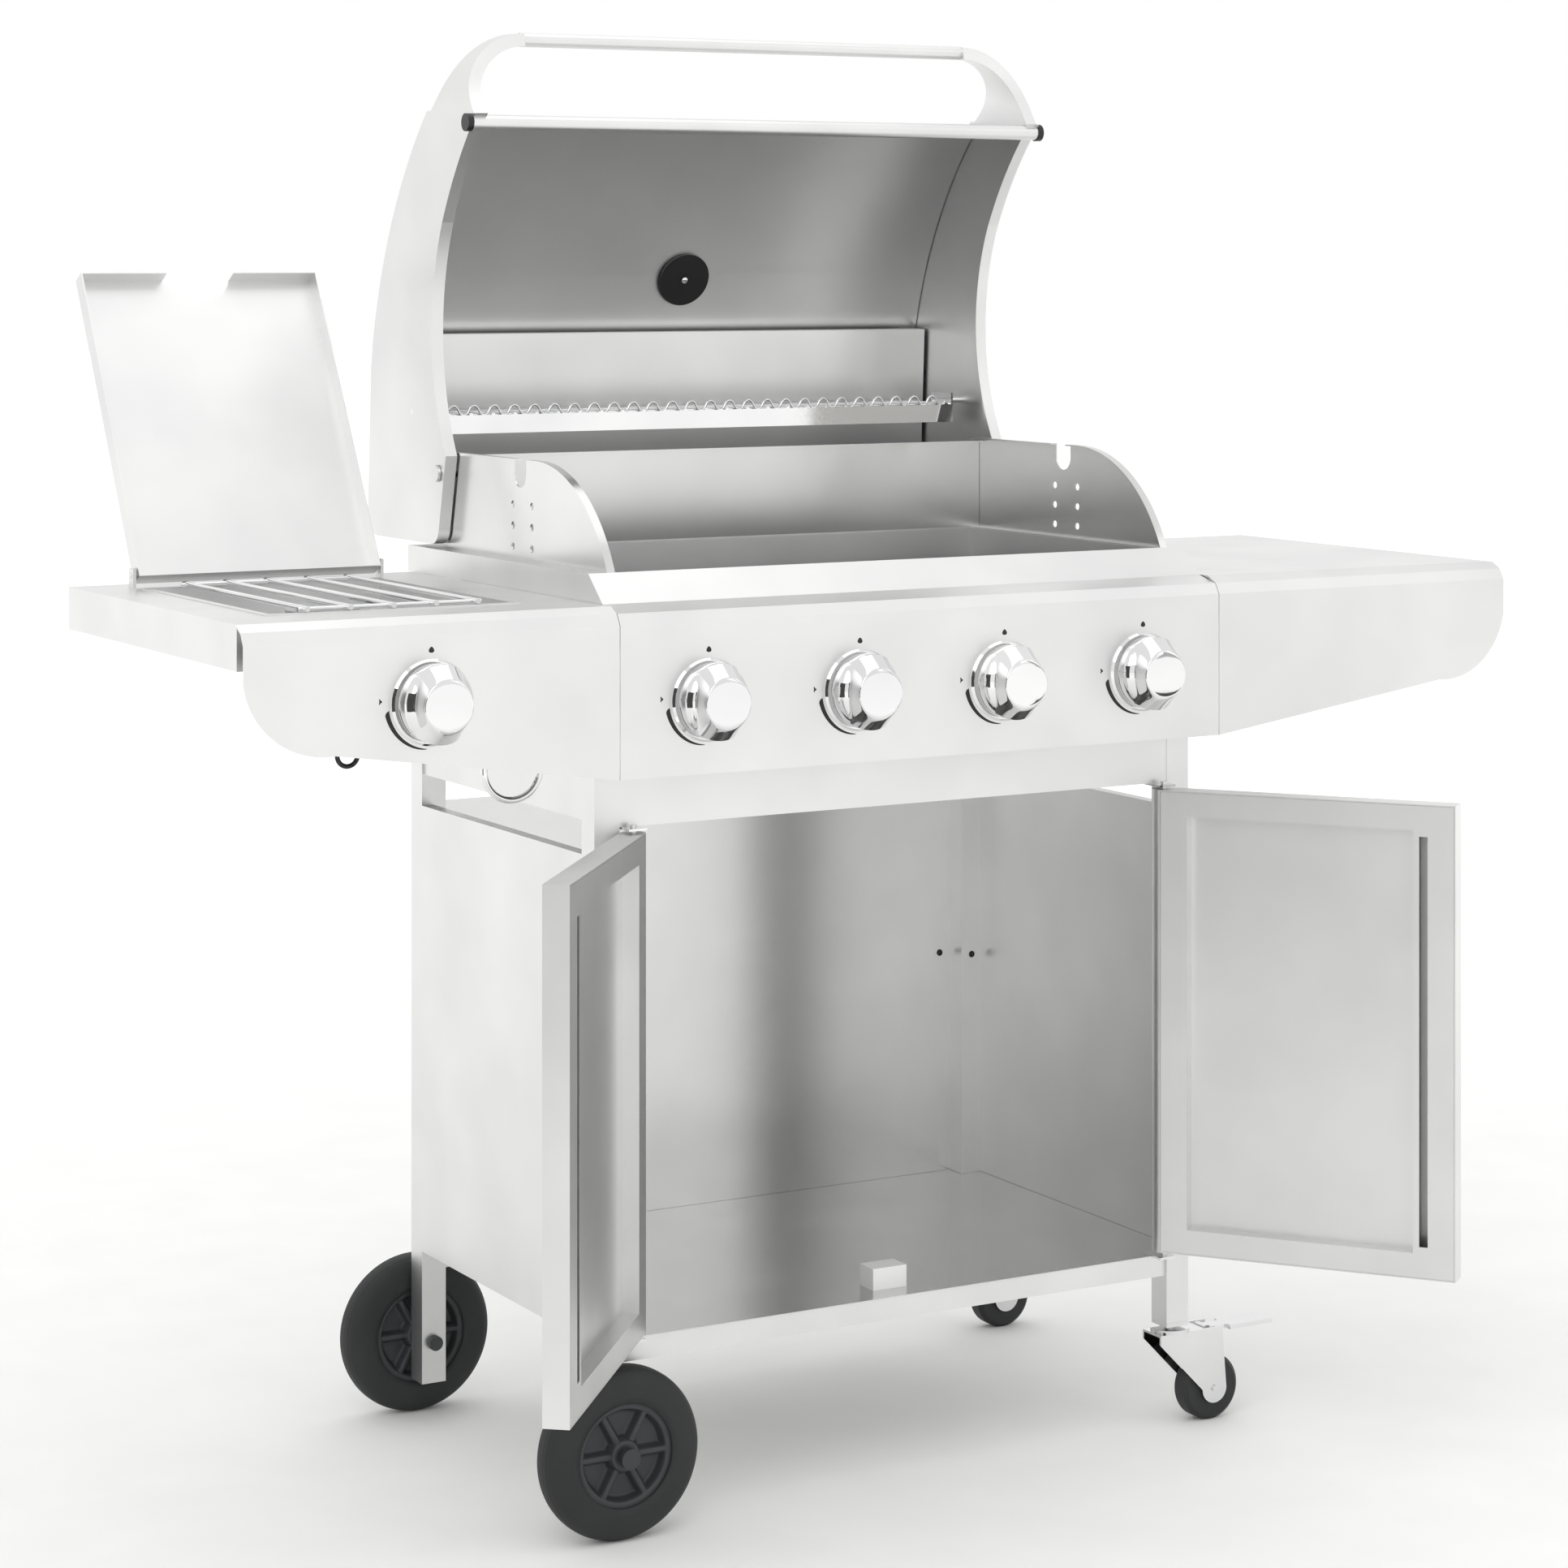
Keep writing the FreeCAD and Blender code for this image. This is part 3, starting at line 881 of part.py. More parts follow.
def make_handle():
    """A bar whose ends bend back in a quarter circle and widen into the end caps."""
    corner, thick = size("handle_corner"), size("handle_thick")
    half = size("hood_width / 2")
    front = size("hood_front")
    tip = front - size("handle_reach")
    bend_y = tip + corner
    inner_x = half - corner

    def strap(side):
        """One arm: a bent strap, shared with a taper seen from the end."""
        across = Vector(side, 0, 0)
        mid = math.sqrt(0.5)
        low, high = corner - thick, corner
        outer = Part.Arc(across * half + Vector(0, bend_y, 0),
                         across * (inner_x + high * mid) + Vector(0, bend_y - high * mid, 0),
                         across * inner_x + Vector(0, bend_y - high, 0))
        inside = Part.Arc(across * (half - thick) + Vector(0, bend_y, 0),
                          across * (inner_x + low * mid) + Vector(0, bend_y - low * mid, 0),
                          across * inner_x + Vector(0, bend_y - low, 0))
        wire = Part.Wire([
            outer.toShape(), Part.LineSegment(outer.EndPoint, inside.EndPoint).toShape(), inside.toShape(),
            Part.LineSegment(inside.StartPoint, across * (half - thick) + Vector(0, front, 0)).toShape(),
            Part.LineSegment(across * (half - thick) + Vector(0, front, 0), across * half + Vector(0, front, 0)).toShape(),
            Part.LineSegment(across * half + Vector(0, front, 0), outer.StartPoint).toShape()])
        bent = Part.Face(wire).extrude(Vector(0, 0, 200)).translated(Vector(0, 0, 800))
        level = size("lip_z") + 40
        grip = size("handle_width") / 2
        top = Part.Arc(Vector(0, front, level + 54), Vector(0, front - 34, level + 24), Vector(0, tip, level + grip))
        base = Part.Arc(Vector(0, front, level - 44), Vector(0, front - 34, level - 22), Vector(0, tip, level - grip))
        side_face = Part.Face(Part.Wire([
            top.toShape(), Part.LineSegment(top.EndPoint, base.EndPoint).toShape(), base.toShape(),
            Part.LineSegment(base.StartPoint, top.StartPoint).toShape()]))
        return bent.common(side_face.extrude(Vector(2 * half + 20, 0, 0)).translated(Vector(-half - 10, 0, 0)))

    grip_bar = Part.makeCylinder(thick / 2 + 0.8, 2 * inner_x + 4,
                                 Vector(-inner_x - 2, tip + thick / 2, size("lip_z") + 40), Vector(1, 0, 0))
    keep(shaped("handle_body", grip_bar.fuse([strap(-1), strap(1)]).removeSplitter()), "hood_handle", hood_swing())


def make_rack():
    """The warming rack as it hangs in the open hood: wires along y, a looped front strip, end brackets."""
    half = "rack_width / 2"
    front = "rack_y - 20"
    wire = "2"
    level = "rack_z - 4"
    pieces = [box("rack_strip", (f"-{half}", front, "rack_z - 22"), ("rack_width", "1.2", "18"))]
    count = 25
    for index in range(count):
        pieces.append(rod(f"rack_wire_{index}", (f"-{half} + 6 + {index} * (rack_width - 12) / {count - 1}",
                                                 front, level), wire, "rack_depth", "y"))
    for name, bar_y in (("front", f"{front} + 6"), ("rear", f"{front} + rack_depth - 6")):
        pieces.append(rod(f"rack_bar_{name}", (f"-{half}", bar_y, level), wire, "rack_width", "x"))
    for side, edge, pin in (("left", f"-{half} - 2", "-hood_width / 2 + 0.1"), ("right", half, half)):
        pieces.append(box(f"rack_bracket_{side}", (edge, front, "rack_z - 22"), ("2", "40", "30")))
        pieces.append(rod(f"rack_pin_{side}", (pin, "rack_y", "rack_z"), "rack_pin",
                          "(hood_width - rack_width) / 2 - 0.1", "x"))
    keep(fuse("rack", *pieces), "warming_rack")


make_cart()
make_wheels()
for door_side in ("left", "right"):
    make_door(door_side)
make_hinge_lugs()
make_control_panel()
make_knobs()
make_shelves()
make_side_burner()
make_firebox()
make_hood()
make_rack()
doc.recompute()

# ---------------------------------------------------------------- place, check and write
for item, swing in FINAL:
    for path in [entry[0] for entry in item.ExpressionEngine if "Placement" in entry[0]]:
        item.setExpression(path, None)
    if swing:
        point, axis, angle = swing
        item.Placement = Placement(Vector(), Rotation(axis, angle), point).multiply(item.Placement)
doc.recompute()
bounds = [item.Shape.optimalBoundingBox() for item, swing in FINAL]
move = Vector(-(min(b.XMin for b in bounds) + max(b.XMax for b in bounds)) / 2,
              -(min(b.YMin for b in bounds) + max(b.YMax for b in bounds)) / 2, 0)
for item, swing in FINAL:
    item.Placement = Placement(item.Placement.Base.add(move), item.Placement.Rotation)
doc.recompute()

faults = [f"{item.Name}: {item.State}" for item in doc.Objects if {"Invalid", "Error"} & set(item.State)]
for item, swing in FINAL:
    if item.Shape.isNull() or not item.Shape.isValid() or not item.Shape.Solids:
        faults.append(f"{item.Label}: bad shape")
if faults:
    raise RuntimeError("; ".join(faults))
os.makedirs("parts", exist_ok=True)
for item, swing in FINAL:
    item.Shape.exportStep(os.path.join("parts", item.Label + ".step"))
print("nodes", len(FINAL))
print("origin moved by", move.x, move.y)
print("top", max(b.ZMax for b in bounds), "low", min(b.ZMin for b in bounds))
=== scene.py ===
import logging
from dataclasses import dataclass, field
from enum import Enum
from math import pi, radians

import bpy
import numpy as np
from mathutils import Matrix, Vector


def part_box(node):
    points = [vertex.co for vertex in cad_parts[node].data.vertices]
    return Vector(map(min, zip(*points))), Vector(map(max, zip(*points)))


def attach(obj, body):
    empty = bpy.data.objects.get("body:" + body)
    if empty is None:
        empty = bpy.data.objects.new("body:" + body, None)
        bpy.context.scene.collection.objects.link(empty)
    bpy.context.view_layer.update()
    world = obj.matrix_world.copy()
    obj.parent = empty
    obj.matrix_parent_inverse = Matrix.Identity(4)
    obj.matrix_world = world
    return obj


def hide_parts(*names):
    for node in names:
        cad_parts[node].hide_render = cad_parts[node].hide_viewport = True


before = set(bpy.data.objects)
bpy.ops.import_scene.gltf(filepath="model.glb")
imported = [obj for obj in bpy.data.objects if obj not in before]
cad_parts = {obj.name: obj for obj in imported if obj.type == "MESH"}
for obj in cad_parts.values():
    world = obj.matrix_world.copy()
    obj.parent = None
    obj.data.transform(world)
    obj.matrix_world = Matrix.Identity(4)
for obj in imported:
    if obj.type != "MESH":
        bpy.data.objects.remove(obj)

logging.basicConfig(level=logging.INFO, format="%(message)s")
log = logging.getLogger("grill")
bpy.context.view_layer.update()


class Grain(Enum):
    """The row axis that a brushed grain runs along."""

    X = 0
    Y = 1
    Z = 2


def srgb(code: str) -> tuple[float, float, float, float]:
    """Turn a hex sRGB colour into a linear one.

    Args:
        code: six hex digits after a hash sign.
    Returns:
        Linear red, green, blue and an alpha of one.
    """
    raw = np.array([int(code[index:index + 2], 16) for index in (1, 3, 5)]) / 255
    linear = np.where(raw <= 0.04045, raw / 12.92, ((raw + 0.055) / 1.055) ** 2.4)
    return (*linear.tolist(), 1.0)


@dataclass
class Graph:
    """A material's node tree with one helper that adds and links nodes.

    Args:
        material: the material whose nodes are built.
    """

    material: bpy.types.Material
    tree: bpy.types.NodeTree = field(init=False)
    shader: bpy.types.Node = field(init=False)

    def __post_init__(self) -> None:
        self.material.use_nodes = True
        self.tree = self.material.node_tree
        self.tree.nodes.clear()
        self.shader = self.add("ShaderNodeBsdfPrincipled")
        self.add("ShaderNodeOutputMaterial", Surface=self.shader.outputs[0])

    @classmethod
    def reopen(cls, material: bpy.types.Material) -> "Graph":
        """Take up a material that has been built already.

        Args:
            material: the built material.
        Returns:
            A graph over its nodes.
        """
        graph = cls.__new__(cls)
        graph.material, graph.tree = material, material.node_tree
        graph.shader = next(node for node in graph.tree.nodes if node.type == "BSDF_PRINCIPLED")
        return graph

    def add(self, kind: str, settings: dict | None = None, **inputs: object) -> bpy.types.Node:
        """Add a node; each input is a socket to link or a constant to set.

        Args:
            kind: the node's type name.
            settings: node properties to set.
            inputs: socket names, with underscores for spaces.
        Returns:
            The new node.
        """
        node = self.tree.nodes.new(kind)
        for key, value in (settings or {}).items():
            setattr(node, key, value)
        self.feed(node, **inputs)
        return node

    def feed(self, node: bpy.types.Node, **inputs: object) -> None:
        """Link or set the named inputs of a node.

        Args:
            node: the node to feed.
            inputs: socket names, with underscores for spaces.
        """
        for key, value in inputs.items():
            socket = node.inputs[key.replace("_", " ")]
            if isinstance(value, bpy.types.NodeSocket):
                self.tree.links.new(value, socket)
            else:
                socket.default_value = value

    def noise(self, scale: tuple[float, float, float], detail: float = 2.0) -> bpy.types.NodeSocket:
        """Noise over object coordinates, with its own scale along each axis.

        Args:
            scale: cycles per metre along x, y and z.
            detail: octaves of the noise.
        Returns:
            The noise value socket.
        """
        place = self.add("ShaderNodeTexCoord").outputs["Object"]
        stretched = self.add("ShaderNodeMapping", Vector=place, Scale=scale).outputs[0]
        return self.add("ShaderNodeTexNoise", Vector=stretched, Scale=1.0, Detail=detail).outputs["Fac"]

    def span(self, value: bpy.types.NodeSocket, low: float, high: float) -> bpy.types.NodeSocket:
        """Stretch noise in its usual span to the range from low to high.

        Args:
            value: the noise socket.
            low: value for dark noise.
            high: value for light noise.
        Returns:
            The mapped value socket.
        """
        node = self.add("ShaderNodeMapRange", Value=value)
        for index, number in ((1, 0.3), (2, 0.7), (3, low), (4, high)):
            node.inputs[index].default_value = number
        return node.outputs[0]

    def tint(self, value: bpy.types.NodeSocket, dark: str, light: str) -> bpy.types.NodeSocket:
        """Mix two colours by a value.

        Args:
            value: the mixing socket, from nought to one.
            dark: hex colour at nought.
            light: hex colour at one.
        Returns:
            The colour socket.
        """
        node = self.add("ShaderNodeMix", {"data_type": "RGBA"})
        self.tree.links.new(value, node.inputs[0])
        node.inputs[6].default_value = srgb(dark)
        node.inputs[7].default_value = srgb(light)
        return node.outputs[2]

    def bump(self, height: bpy.types.NodeSocket, depth: float) -> bpy.types.NodeSocket:
        """Surface relief from a height.

        Args:
            height: relief from nought to one.
            depth: depth of the relief in metres.
        Returns:
            The normal socket.
        """
        return self.add("ShaderNodeBump", Height=height, Strength=0.5, Distance=depth).outputs[0]


@dataclass(frozen=True)
class Finish:
    """A surface finish: a base colour with soft patches and fine grit.

    Args:
        title: the real material and its process.
        dark: hex colour of its darker patches.
        light: hex colour of its lighter patches.
        rough: lowest and highest roughness.
        metal: one for a metal, nought otherwise.
        grit_mm: size of the fine surface grit.
        depth_mm: depth of the grit.
    """

    title: str
    dark: str
    light: str
    rough: tuple[float, float]
    metal: float = 1.0
    grit_mm: float = 1.0
    depth_mm: float = 0.01

    def grit(self) -> tuple[float, float, float]:
        """Cycles per metre of the fine relief along each axis."""
        return (1000 / self.grit_mm,) * 3

    def build(self) -> bpy.types.Material:
        """Build the material, or return it if it has been built.

        Returns:
            The finished material.
        """
        made = bpy.data.materials.get(self.title)
        if made:
            return made
        graph = Graph(bpy.data.materials.new(self.title))
        patches = graph.noise((9, 9, 9))
        fine = graph.noise(self.grit(), 3)
        graph.feed(graph.shader, Base_Color=graph.tint(graph.span(patches, 0, 1), self.dark, self.light),
                   Roughness=graph.span(fine, *self.rough), Metallic=self.metal,
                   Normal=graph.bump(fine, self.depth_mm / 1000))
        return graph.material


@dataclass(frozen=True)
class Glow(Finish):
    """A matt floor that brightens towards a plain white far from the middle."""

    def build(self) -> bpy.types.Material:
        """Build the floor's paint, with light that grows with the distance from the origin.

        Returns:
            The finished material.
        """
        material = Finish.build(self)
        graph = Graph.reopen(material)
        place = graph.add("ShaderNodeTexCoord").outputs["Object"]
        away = graph.add("ShaderNodeVectorMath", {"operation": "LENGTH"}, Vector=place).outputs["Value"]
        rise = graph.add("ShaderNodeMapRange", {"interpolation_type": "SMOOTHSTEP"}, Value=away)
        for index, number in ((1, 1.1), (2, 5.0), (3, 0.0), (4, 0.3)):
            rise.inputs[index].default_value = number
        graph.feed(graph.shader, Emission_Color=srgb("#ffffff"), Emission_Strength=rise.outputs[0])
        return material


@dataclass(frozen=True)
class Brushed(Finish):
    """A metal with a fine directional grain.

    Args:
        grain: the axis that the brushing runs along.
    """

    grain: Grain = Grain.X

    def grit(self) -> tuple[float, float, float]:
        """Cycles per metre, long and slow along the grain."""
        return tuple(6.0 if axis == self.grain.value else 1000 / self.grit_mm for axis in range(3))


STEEL_X = Brushed("stainless_430_brushed_along_x", "#dedede", "#e6e6e5", (0.36, 0.40),
                  grit_mm=0.5, depth_mm=0.001)
STEEL_Z = Brushed("stainless_430_brushed_along_z", "#dedede", "#e6e6e5", (0.36, 0.40),
                  grit_mm=0.5, depth_mm=0.001, grain=Grain.Z)
STEEL_Y = Brushed("stainless_430_brushed_along_y", "#dcdcdc", "#e4e4e3", (0.36, 0.40),
                  grit_mm=0.5, depth_mm=0.001, grain=Grain.Y)
BRIGHT = Finish("stainless_430_bright_annealed", "#d2d2d1", "#dadad9", (0.20, 0.23),
                grit_mm=2.0, depth_mm=0.001)
CHROME = Finish("steel_chrome_plated", "#dcdcdd", "#e6e6e6", (0.03, 0.06), grit_mm=3.0, depth_mm=0.003)
ALUMINIUM = Finish("aluminium_die_cast", "#b4b6b8", "#c6c7c8", (0.38, 0.5), grit_mm=0.8, depth_mm=0.03)
BRASS = Finish("brass_turned", "#b99a56", "#c9ab68", (0.22, 0.34), grit_mm=0.6, depth_mm=0.01)
IRON = Finish("iron_matt_enamelled", "#17181a", "#222426", (0.45, 0.6), 0.0, 0.7, 0.05)
RUBBER = Finish("rubber_moulded_black", "#1d1e1f", "#2a2b2c", (0.55, 0.7), 0.0, 0.6, 0.03)
GREY = Finish("polypropylene_moulded_grey", "#303234", "#3b3d3f", (0.42, 0.52), 0.0, 0.8, 0.02)
BLACK = Finish("nylon_moulded_black", "#0c0c0d", "#151516", (0.3, 0.42), 0.0, 0.6, 0.01)
WHITE = Finish("acetal_moulded_white", "#e2e3e2", "#eeeeed", (0.3, 0.4), 0.0, 0.8, 0.01)
PRINT = Finish("ink_screen_printed_black", "#0b0b0b", "#151515", (0.4, 0.5), 0.0, 0.3, 0.002)


@dataclass(frozen=True)
class Cart:
    """The grill's own measures: x from the middle, y from the front panel's face, z from the floor.

    Args:
        front: y of the front panel's face in the row frame, in metres.
    """

    front: float

    def at(self, points: np.ndarray) -> np.ndarray:
        """Turn millimetres in the cart's own frame into metres in the row frame.

        Args:
            points: an array whose last axis is x, y, z.
        Returns:
            The same points in the row frame.
        """
        return np.asarray(points, float) / 1000 + np.array([0.0, self.front, 0.0])


def surface(name: str, grid: np.ndarray, wrap: bool = False) -> bpy.types.Object:
    """Make a mesh object from a grid of points in metres.

    Args:
        name: the object's name.
        grid: rows by columns by three.
        wrap: join the last column to the first.
    Returns:
        The linked object at the origin, shaded smooth.
    """
    rows, columns = grid.shape[:2]
    ids = np.arange(rows * columns).reshape(rows, columns)
    nearer = ids if wrap else ids[:, :-1]
    further = np.roll(ids, -1, axis=1) if wrap else ids[:, 1:]
    faces = np.stack([nearer[:-1], further[:-1], further[1:], nearer[1:]], axis=-1).reshape(-1, 4)
    mesh = bpy.data.meshes.new(name)
    mesh.vertices.add(rows * columns)
    mesh.vertices.foreach_set("co", grid.reshape(-1).astype(np.float32))
    mesh.loops.add(faces.size)
    mesh.loops.foreach_set("vertex_index", faces.reshape(-1).astype(np.int32))
    mesh.polygons.add(len(faces))
    mesh.polygons.foreach_set("loop_start", np.arange(0, faces.size, 4, dtype=np.int32))
    mesh.polygons.foreach_set("use_smooth", np.ones(len(faces), bool))
    mesh.update(calc_edges=True)
    mesh.validate()
    piece = bpy.data.objects.new(name, mesh)
    bpy.context.scene.collection.objects.link(piece)
    return piece


def turned(name: str, profile: np.ndarray, centre: np.ndarray, axis: Grain,
           steps: int = 96) -> bpy.types.Object:
    """A surface of revolution: the profile (radius, height) turned about an axis.

    Args:
        name: the object's name.
        profile: rows of radius and height in metres.
        centre: point on the axis where height is nought.
        axis: the axis of the turning.
        steps: columns round the axis.
    Returns:
        The new object.
    """
    turn = np.linspace(0, 2 * pi, steps, endpoint=False)
    radius, height = profile[:, :1], profile[:, 1:]
    grid = np.empty((len(profile), steps, 3))
    across = [index for index in range(3) if index != axis.value]
    grid[..., across[0]] = radius * np.cos(turn)
    grid[..., across[1]] = radius * np.sin(turn)
    grid[..., axis.value] = height
    return surface(name, grid + centre, wrap=True)


def swept(name: str, path: np.ndarray, radius: float, steps: int = 16) -> bpy.types.Object:
    """A round wire along a path in a plane of constant y, closed at both ends.

    Args:
        name: the object's name.
        path: points along the middle of the wire, in metres.
        radius: the wire's radius in metres.
        steps: columns round the wire.
    Returns:
        The new object.
    """
    along = np.gradient(path, axis=0)
    along /= np.linalg.norm(along, axis=1, keepdims=True)
    normal = np.broadcast_to(np.array([0.0, 1.0, 0.0]), path.shape)
    out = np.cross(along, normal)
    turn = np.linspace(0, 2 * pi, steps, endpoint=False)
    ring = out[:, None] * np.cos(turn)[None, :, None] + normal[:, None] * np.sin(turn)[None, :, None]
    grid = path[:, None] + radius * ring
    caps = [np.repeat(path[:1, None], steps, axis=1), np.repeat(path[-1:, None], steps, axis=1)]
    return surface(name, np.concatenate([caps[0], grid, caps[1]]), wrap=True)


def rounded(item: bpy.types.Object, width: float) -> None:
    """Soften a piece's sharp edges.

    Args:
        item: the object to soften.
        width: the edge radius in metres.
    """
    edge = item.modifiers.new("edge", "BEVEL")
    edge.width = width
    edge.segments = 2
    edge.limit_method = "ANGLE"
    edge.angle_limit = radians(40)
    edge.harden_normals = True
    edge.use_clamp_overlap = True


def finish_piece(item: bpy.types.Object, finish: Finish, body: str, slot: str,
                 *stands_for: str) -> None:
    """Give a new piece its finish and tie it to the frame.

    Args:
        item: the piece.
        finish: its surface finish.
        body: the body that it rides on.
        slot: the record's material slot; not used.
        stands_for: nodes that it is shown in place of.
    """
    item.data.materials.append(finish.build())
    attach(item, body)
    if stands_for:
        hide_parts(*stands_for)
    log.info("piece %s on %s: %d faces", item.name, body, len(item.data.polygons))


@dataclass
class Carried:
    """The nodes that are shown as they were cut, with their finishes and softened edges.

    Args:
        finishes: finish and edge radius in millimetres for each node.
    """

    finishes: dict[str, tuple[Finish, float]]

    def build(self) -> None:
        """Put each finish in the node's slots and soften its edges."""
        for name, (finish, edge) in self.finishes.items():
            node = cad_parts[name]
            material = finish.build()
            if not node.data.materials:
                node.data.materials.append(material)
            for index in range(len(node.material_slots)):
                node.material_slots[index].material = material
            if edge:
                rounded(node, edge / 1000)
            log.info("node %s: %s", name, finish.title)


@dataclass
class Wheel:
    """A moulded wheel: a rubber tyre with shallow tread lines and a spoked hub.

    Args:
        cart: the cart's measures.
        row: front or rear.
        face: y of its outer face, in mm.
        radius: radius over the tyre, in mm.
        width: width of the tyre, in mm.
        hub: radius of the hub, in mm.
        spokes: number of spokes.
    """

    cart: Cart
    row: str
    face: float
    radius: float = 76.0
    width: float = 34.0
    hub: float = 45.5
    spokes: int = 6

    def build(self) -> None:
        """Build the tyre and the hub in place of the CAD wheel."""
        centre = self.cart.at([-306.5, self.face, self.radius])
        # rounded-square section from the hub seat, over the tread, and back
        turn = np.linspace(-pi / 2, pi / 2, 49)
        bulge = np.sign(np.cos(turn)) * np.abs(np.cos(turn)) ** 0.55
        height = self.width / 2 * (1 + np.sign(np.sin(turn)) * np.abs(np.sin(turn)) ** 0.75)
        grooves = np.cos(height / self.width * 2 * pi * 7) < -0.6
        tread = 0.35 * grooves * (np.abs(height - self.width / 2) < 11)
        radius = self.hub + (self.radius - self.hub) * bulge - tread
        profile = np.stack([radius, height], axis=1)
        profile = np.concatenate([[[self.hub - 0.2, 3.0]], profile, [[self.hub - 0.2, self.width - 3.0]]])
        tyre = turned(f"tyre_{self.row}", profile / 1000, centre, Grain.Y, 128)
        finish_piece(tyre, RUBBER, f"{self.row}_wheel", "rubber", f"wheel_{self.row}")
        for number, sign in enumerate((1.0, -1.0)):
            self.hub_face(centre, number, sign)

    def hub_face(self, centre: np.ndarray, number: int, sign: float) -> None:
        """One side of the hub: relief over radius and turn, high at boss, rim and spokes.

        Args:
            centre: the axle point on the outer face, in metres.
            number: 0 for the first face, 1 for the second.
            sign: 1 if this face looks to -Y.
        """
        radius = np.linspace(4.2, self.hub, 90)[:, None]
        turn = np.linspace(0, 2 * pi, 288, endpoint=False)[None, :]
        boss = 1 / (1 + np.exp((radius - 15) / 0.8))
        rim = 1 / (1 + np.exp((self.hub - 6.5 - radius) / 0.7))
        off_axis = np.abs(np.sin(self.spokes / 2 * turn)) * radius * 2 / self.spokes
        spoke = 1 / (1 + np.exp((off_axis - 3.6) / 0.6))
        relief = 12.5 - np.maximum(np.maximum(11.5 * boss, 9.5 * rim), 8.5 * spoke)
        y = relief if sign > 0 else self.width - relief
        grid = np.stack([radius * np.cos(turn), y, radius * np.sin(turn)], axis=-1) / 1000
        grid = grid if sign > 0 else grid[:, ::-1]
        piece = surface(f"hub_{self.row}_{number}", grid + centre, wrap=True)
        finish_piece(piece, GREY, f"{self.row}_wheel", "rubber")


@dataclass
class Knob:
    """A chromed control knob: a domed skirt with a tapering grip, and its printed marks.

    Args:
        cart: the cart's measures.
        name: 1 to 4, or side.
        x: its place across the cart, in mm.
        z: its height, in mm.
        radius: radius of the skirt, in mm.
        back: y of the skirt's back, in mm.
        depth: height of the grip's face over the back, in mm.
    """

    cart: Cart
    name: str
    x: float
    z: float
    radius: float = 33.9
    back: float = -8.0
    depth: float = 29.8

    def build(self) -> None:
        """Build the knob in place of the CAD knob, and its marks on the panel."""
        share = np.concatenate([np.linspace(0, 0.96, 64), np.linspace(0.965, 1, 16), [1.0]])
        share = share[:, None]
        turn = np.linspace(0, 2 * pi, 160, endpoint=False)[None, :]
        across, up = share * self.radius * np.cos(turn), share * self.radius * np.sin(turn)
        # the skirt is a flattened dome; the grip is a round face whose left and right walls fall steeply,
        # its top and bottom walls gently, joined to the dome by a soft maximum
        dome = 20.0 * np.sqrt(np.clip(1 - share ** 2.6, 0, 1))
        steep = 1.0 + 4.5 * np.cos(turn) ** 4
        edge = (share * self.radius - 22.5) * steep
        fall = np.log1p(np.exp(np.clip(edge / 0.9, -30, 30))) * 1.1
        grip = self.depth - 0.8 * share ** 2 - fall
        rise = np.log(np.exp(dome / 1.2) + np.exp(np.clip(grip, -20, None) / 1.2)) * 1.2
        rise = np.clip(rise, 0, self.depth) * (share < 1)
        y = self.back - rise
        grid = np.stack([self.x + across, y, self.z + up], axis=-1)
        lid = np.array(grid[-1:])
        lid[..., 0], lid[..., 1], lid[..., 2] = self.x, self.back, self.z
        knob = surface(f"knob_body_{self.name}", self.cart.at(np.concatenate([grid, lid])), wrap=True)
        finish_piece(knob, CHROME, f"dial_{self.name}", "chrome", f"knob_{self.name}")
        self.marks()

    def marks(self) -> None:
        """The printed arc that widens towards the bottom, the off dot and the flame sign."""
        turn = np.linspace(pi * 1.04, pi * 1.47, 48)[None, :]
        run = np.linspace(0, 1, 48)
        width = 4.4 * np.minimum(1.0, run / 0.06) ** 0.5 * (1 - run) ** 0.55
        radius = 39.2 + np.array([0.0, 1.0])[:, None] * width[None, :]
        self.printed("arc", radius * np.cos(turn), radius * np.sin(turn))
        ring = np.linspace(0, 2 * pi, 24)[None, :]
        size = np.array([0.0, 1.0])[:, None]
        wide = 2.4 - 0.9 * np.sin(ring)
        self.printed("dot", size * wide * np.cos(ring), 44.5 + size * 2.6 * np.sin(ring))
        drop = size * (1.2 + 0.5 * np.cos(3 * ring))
        self.printed("flame", -47 + drop * np.cos(ring), 3.0 + 1.6 * drop * np.sin(ring))

    def printed(self, title: str, across: np.ndarray, up: np.ndarray) -> None:
        """A thin printed patch on the panel.

        Args:
            title: its name.
            across: x from the knob's middle, in mm.
            up: z from the knob's middle, in mm.
        """
        across, up = np.broadcast_arrays(across, up)
        grid = np.stack([self.x + across, np.full(across.shape, -0.08), self.z + up], axis=-1)
        patch = surface(f"mark_{title}_{self.name}", self.cart.at(grid))
        finish_piece(patch, PRINT, "cart", "black_plastic")


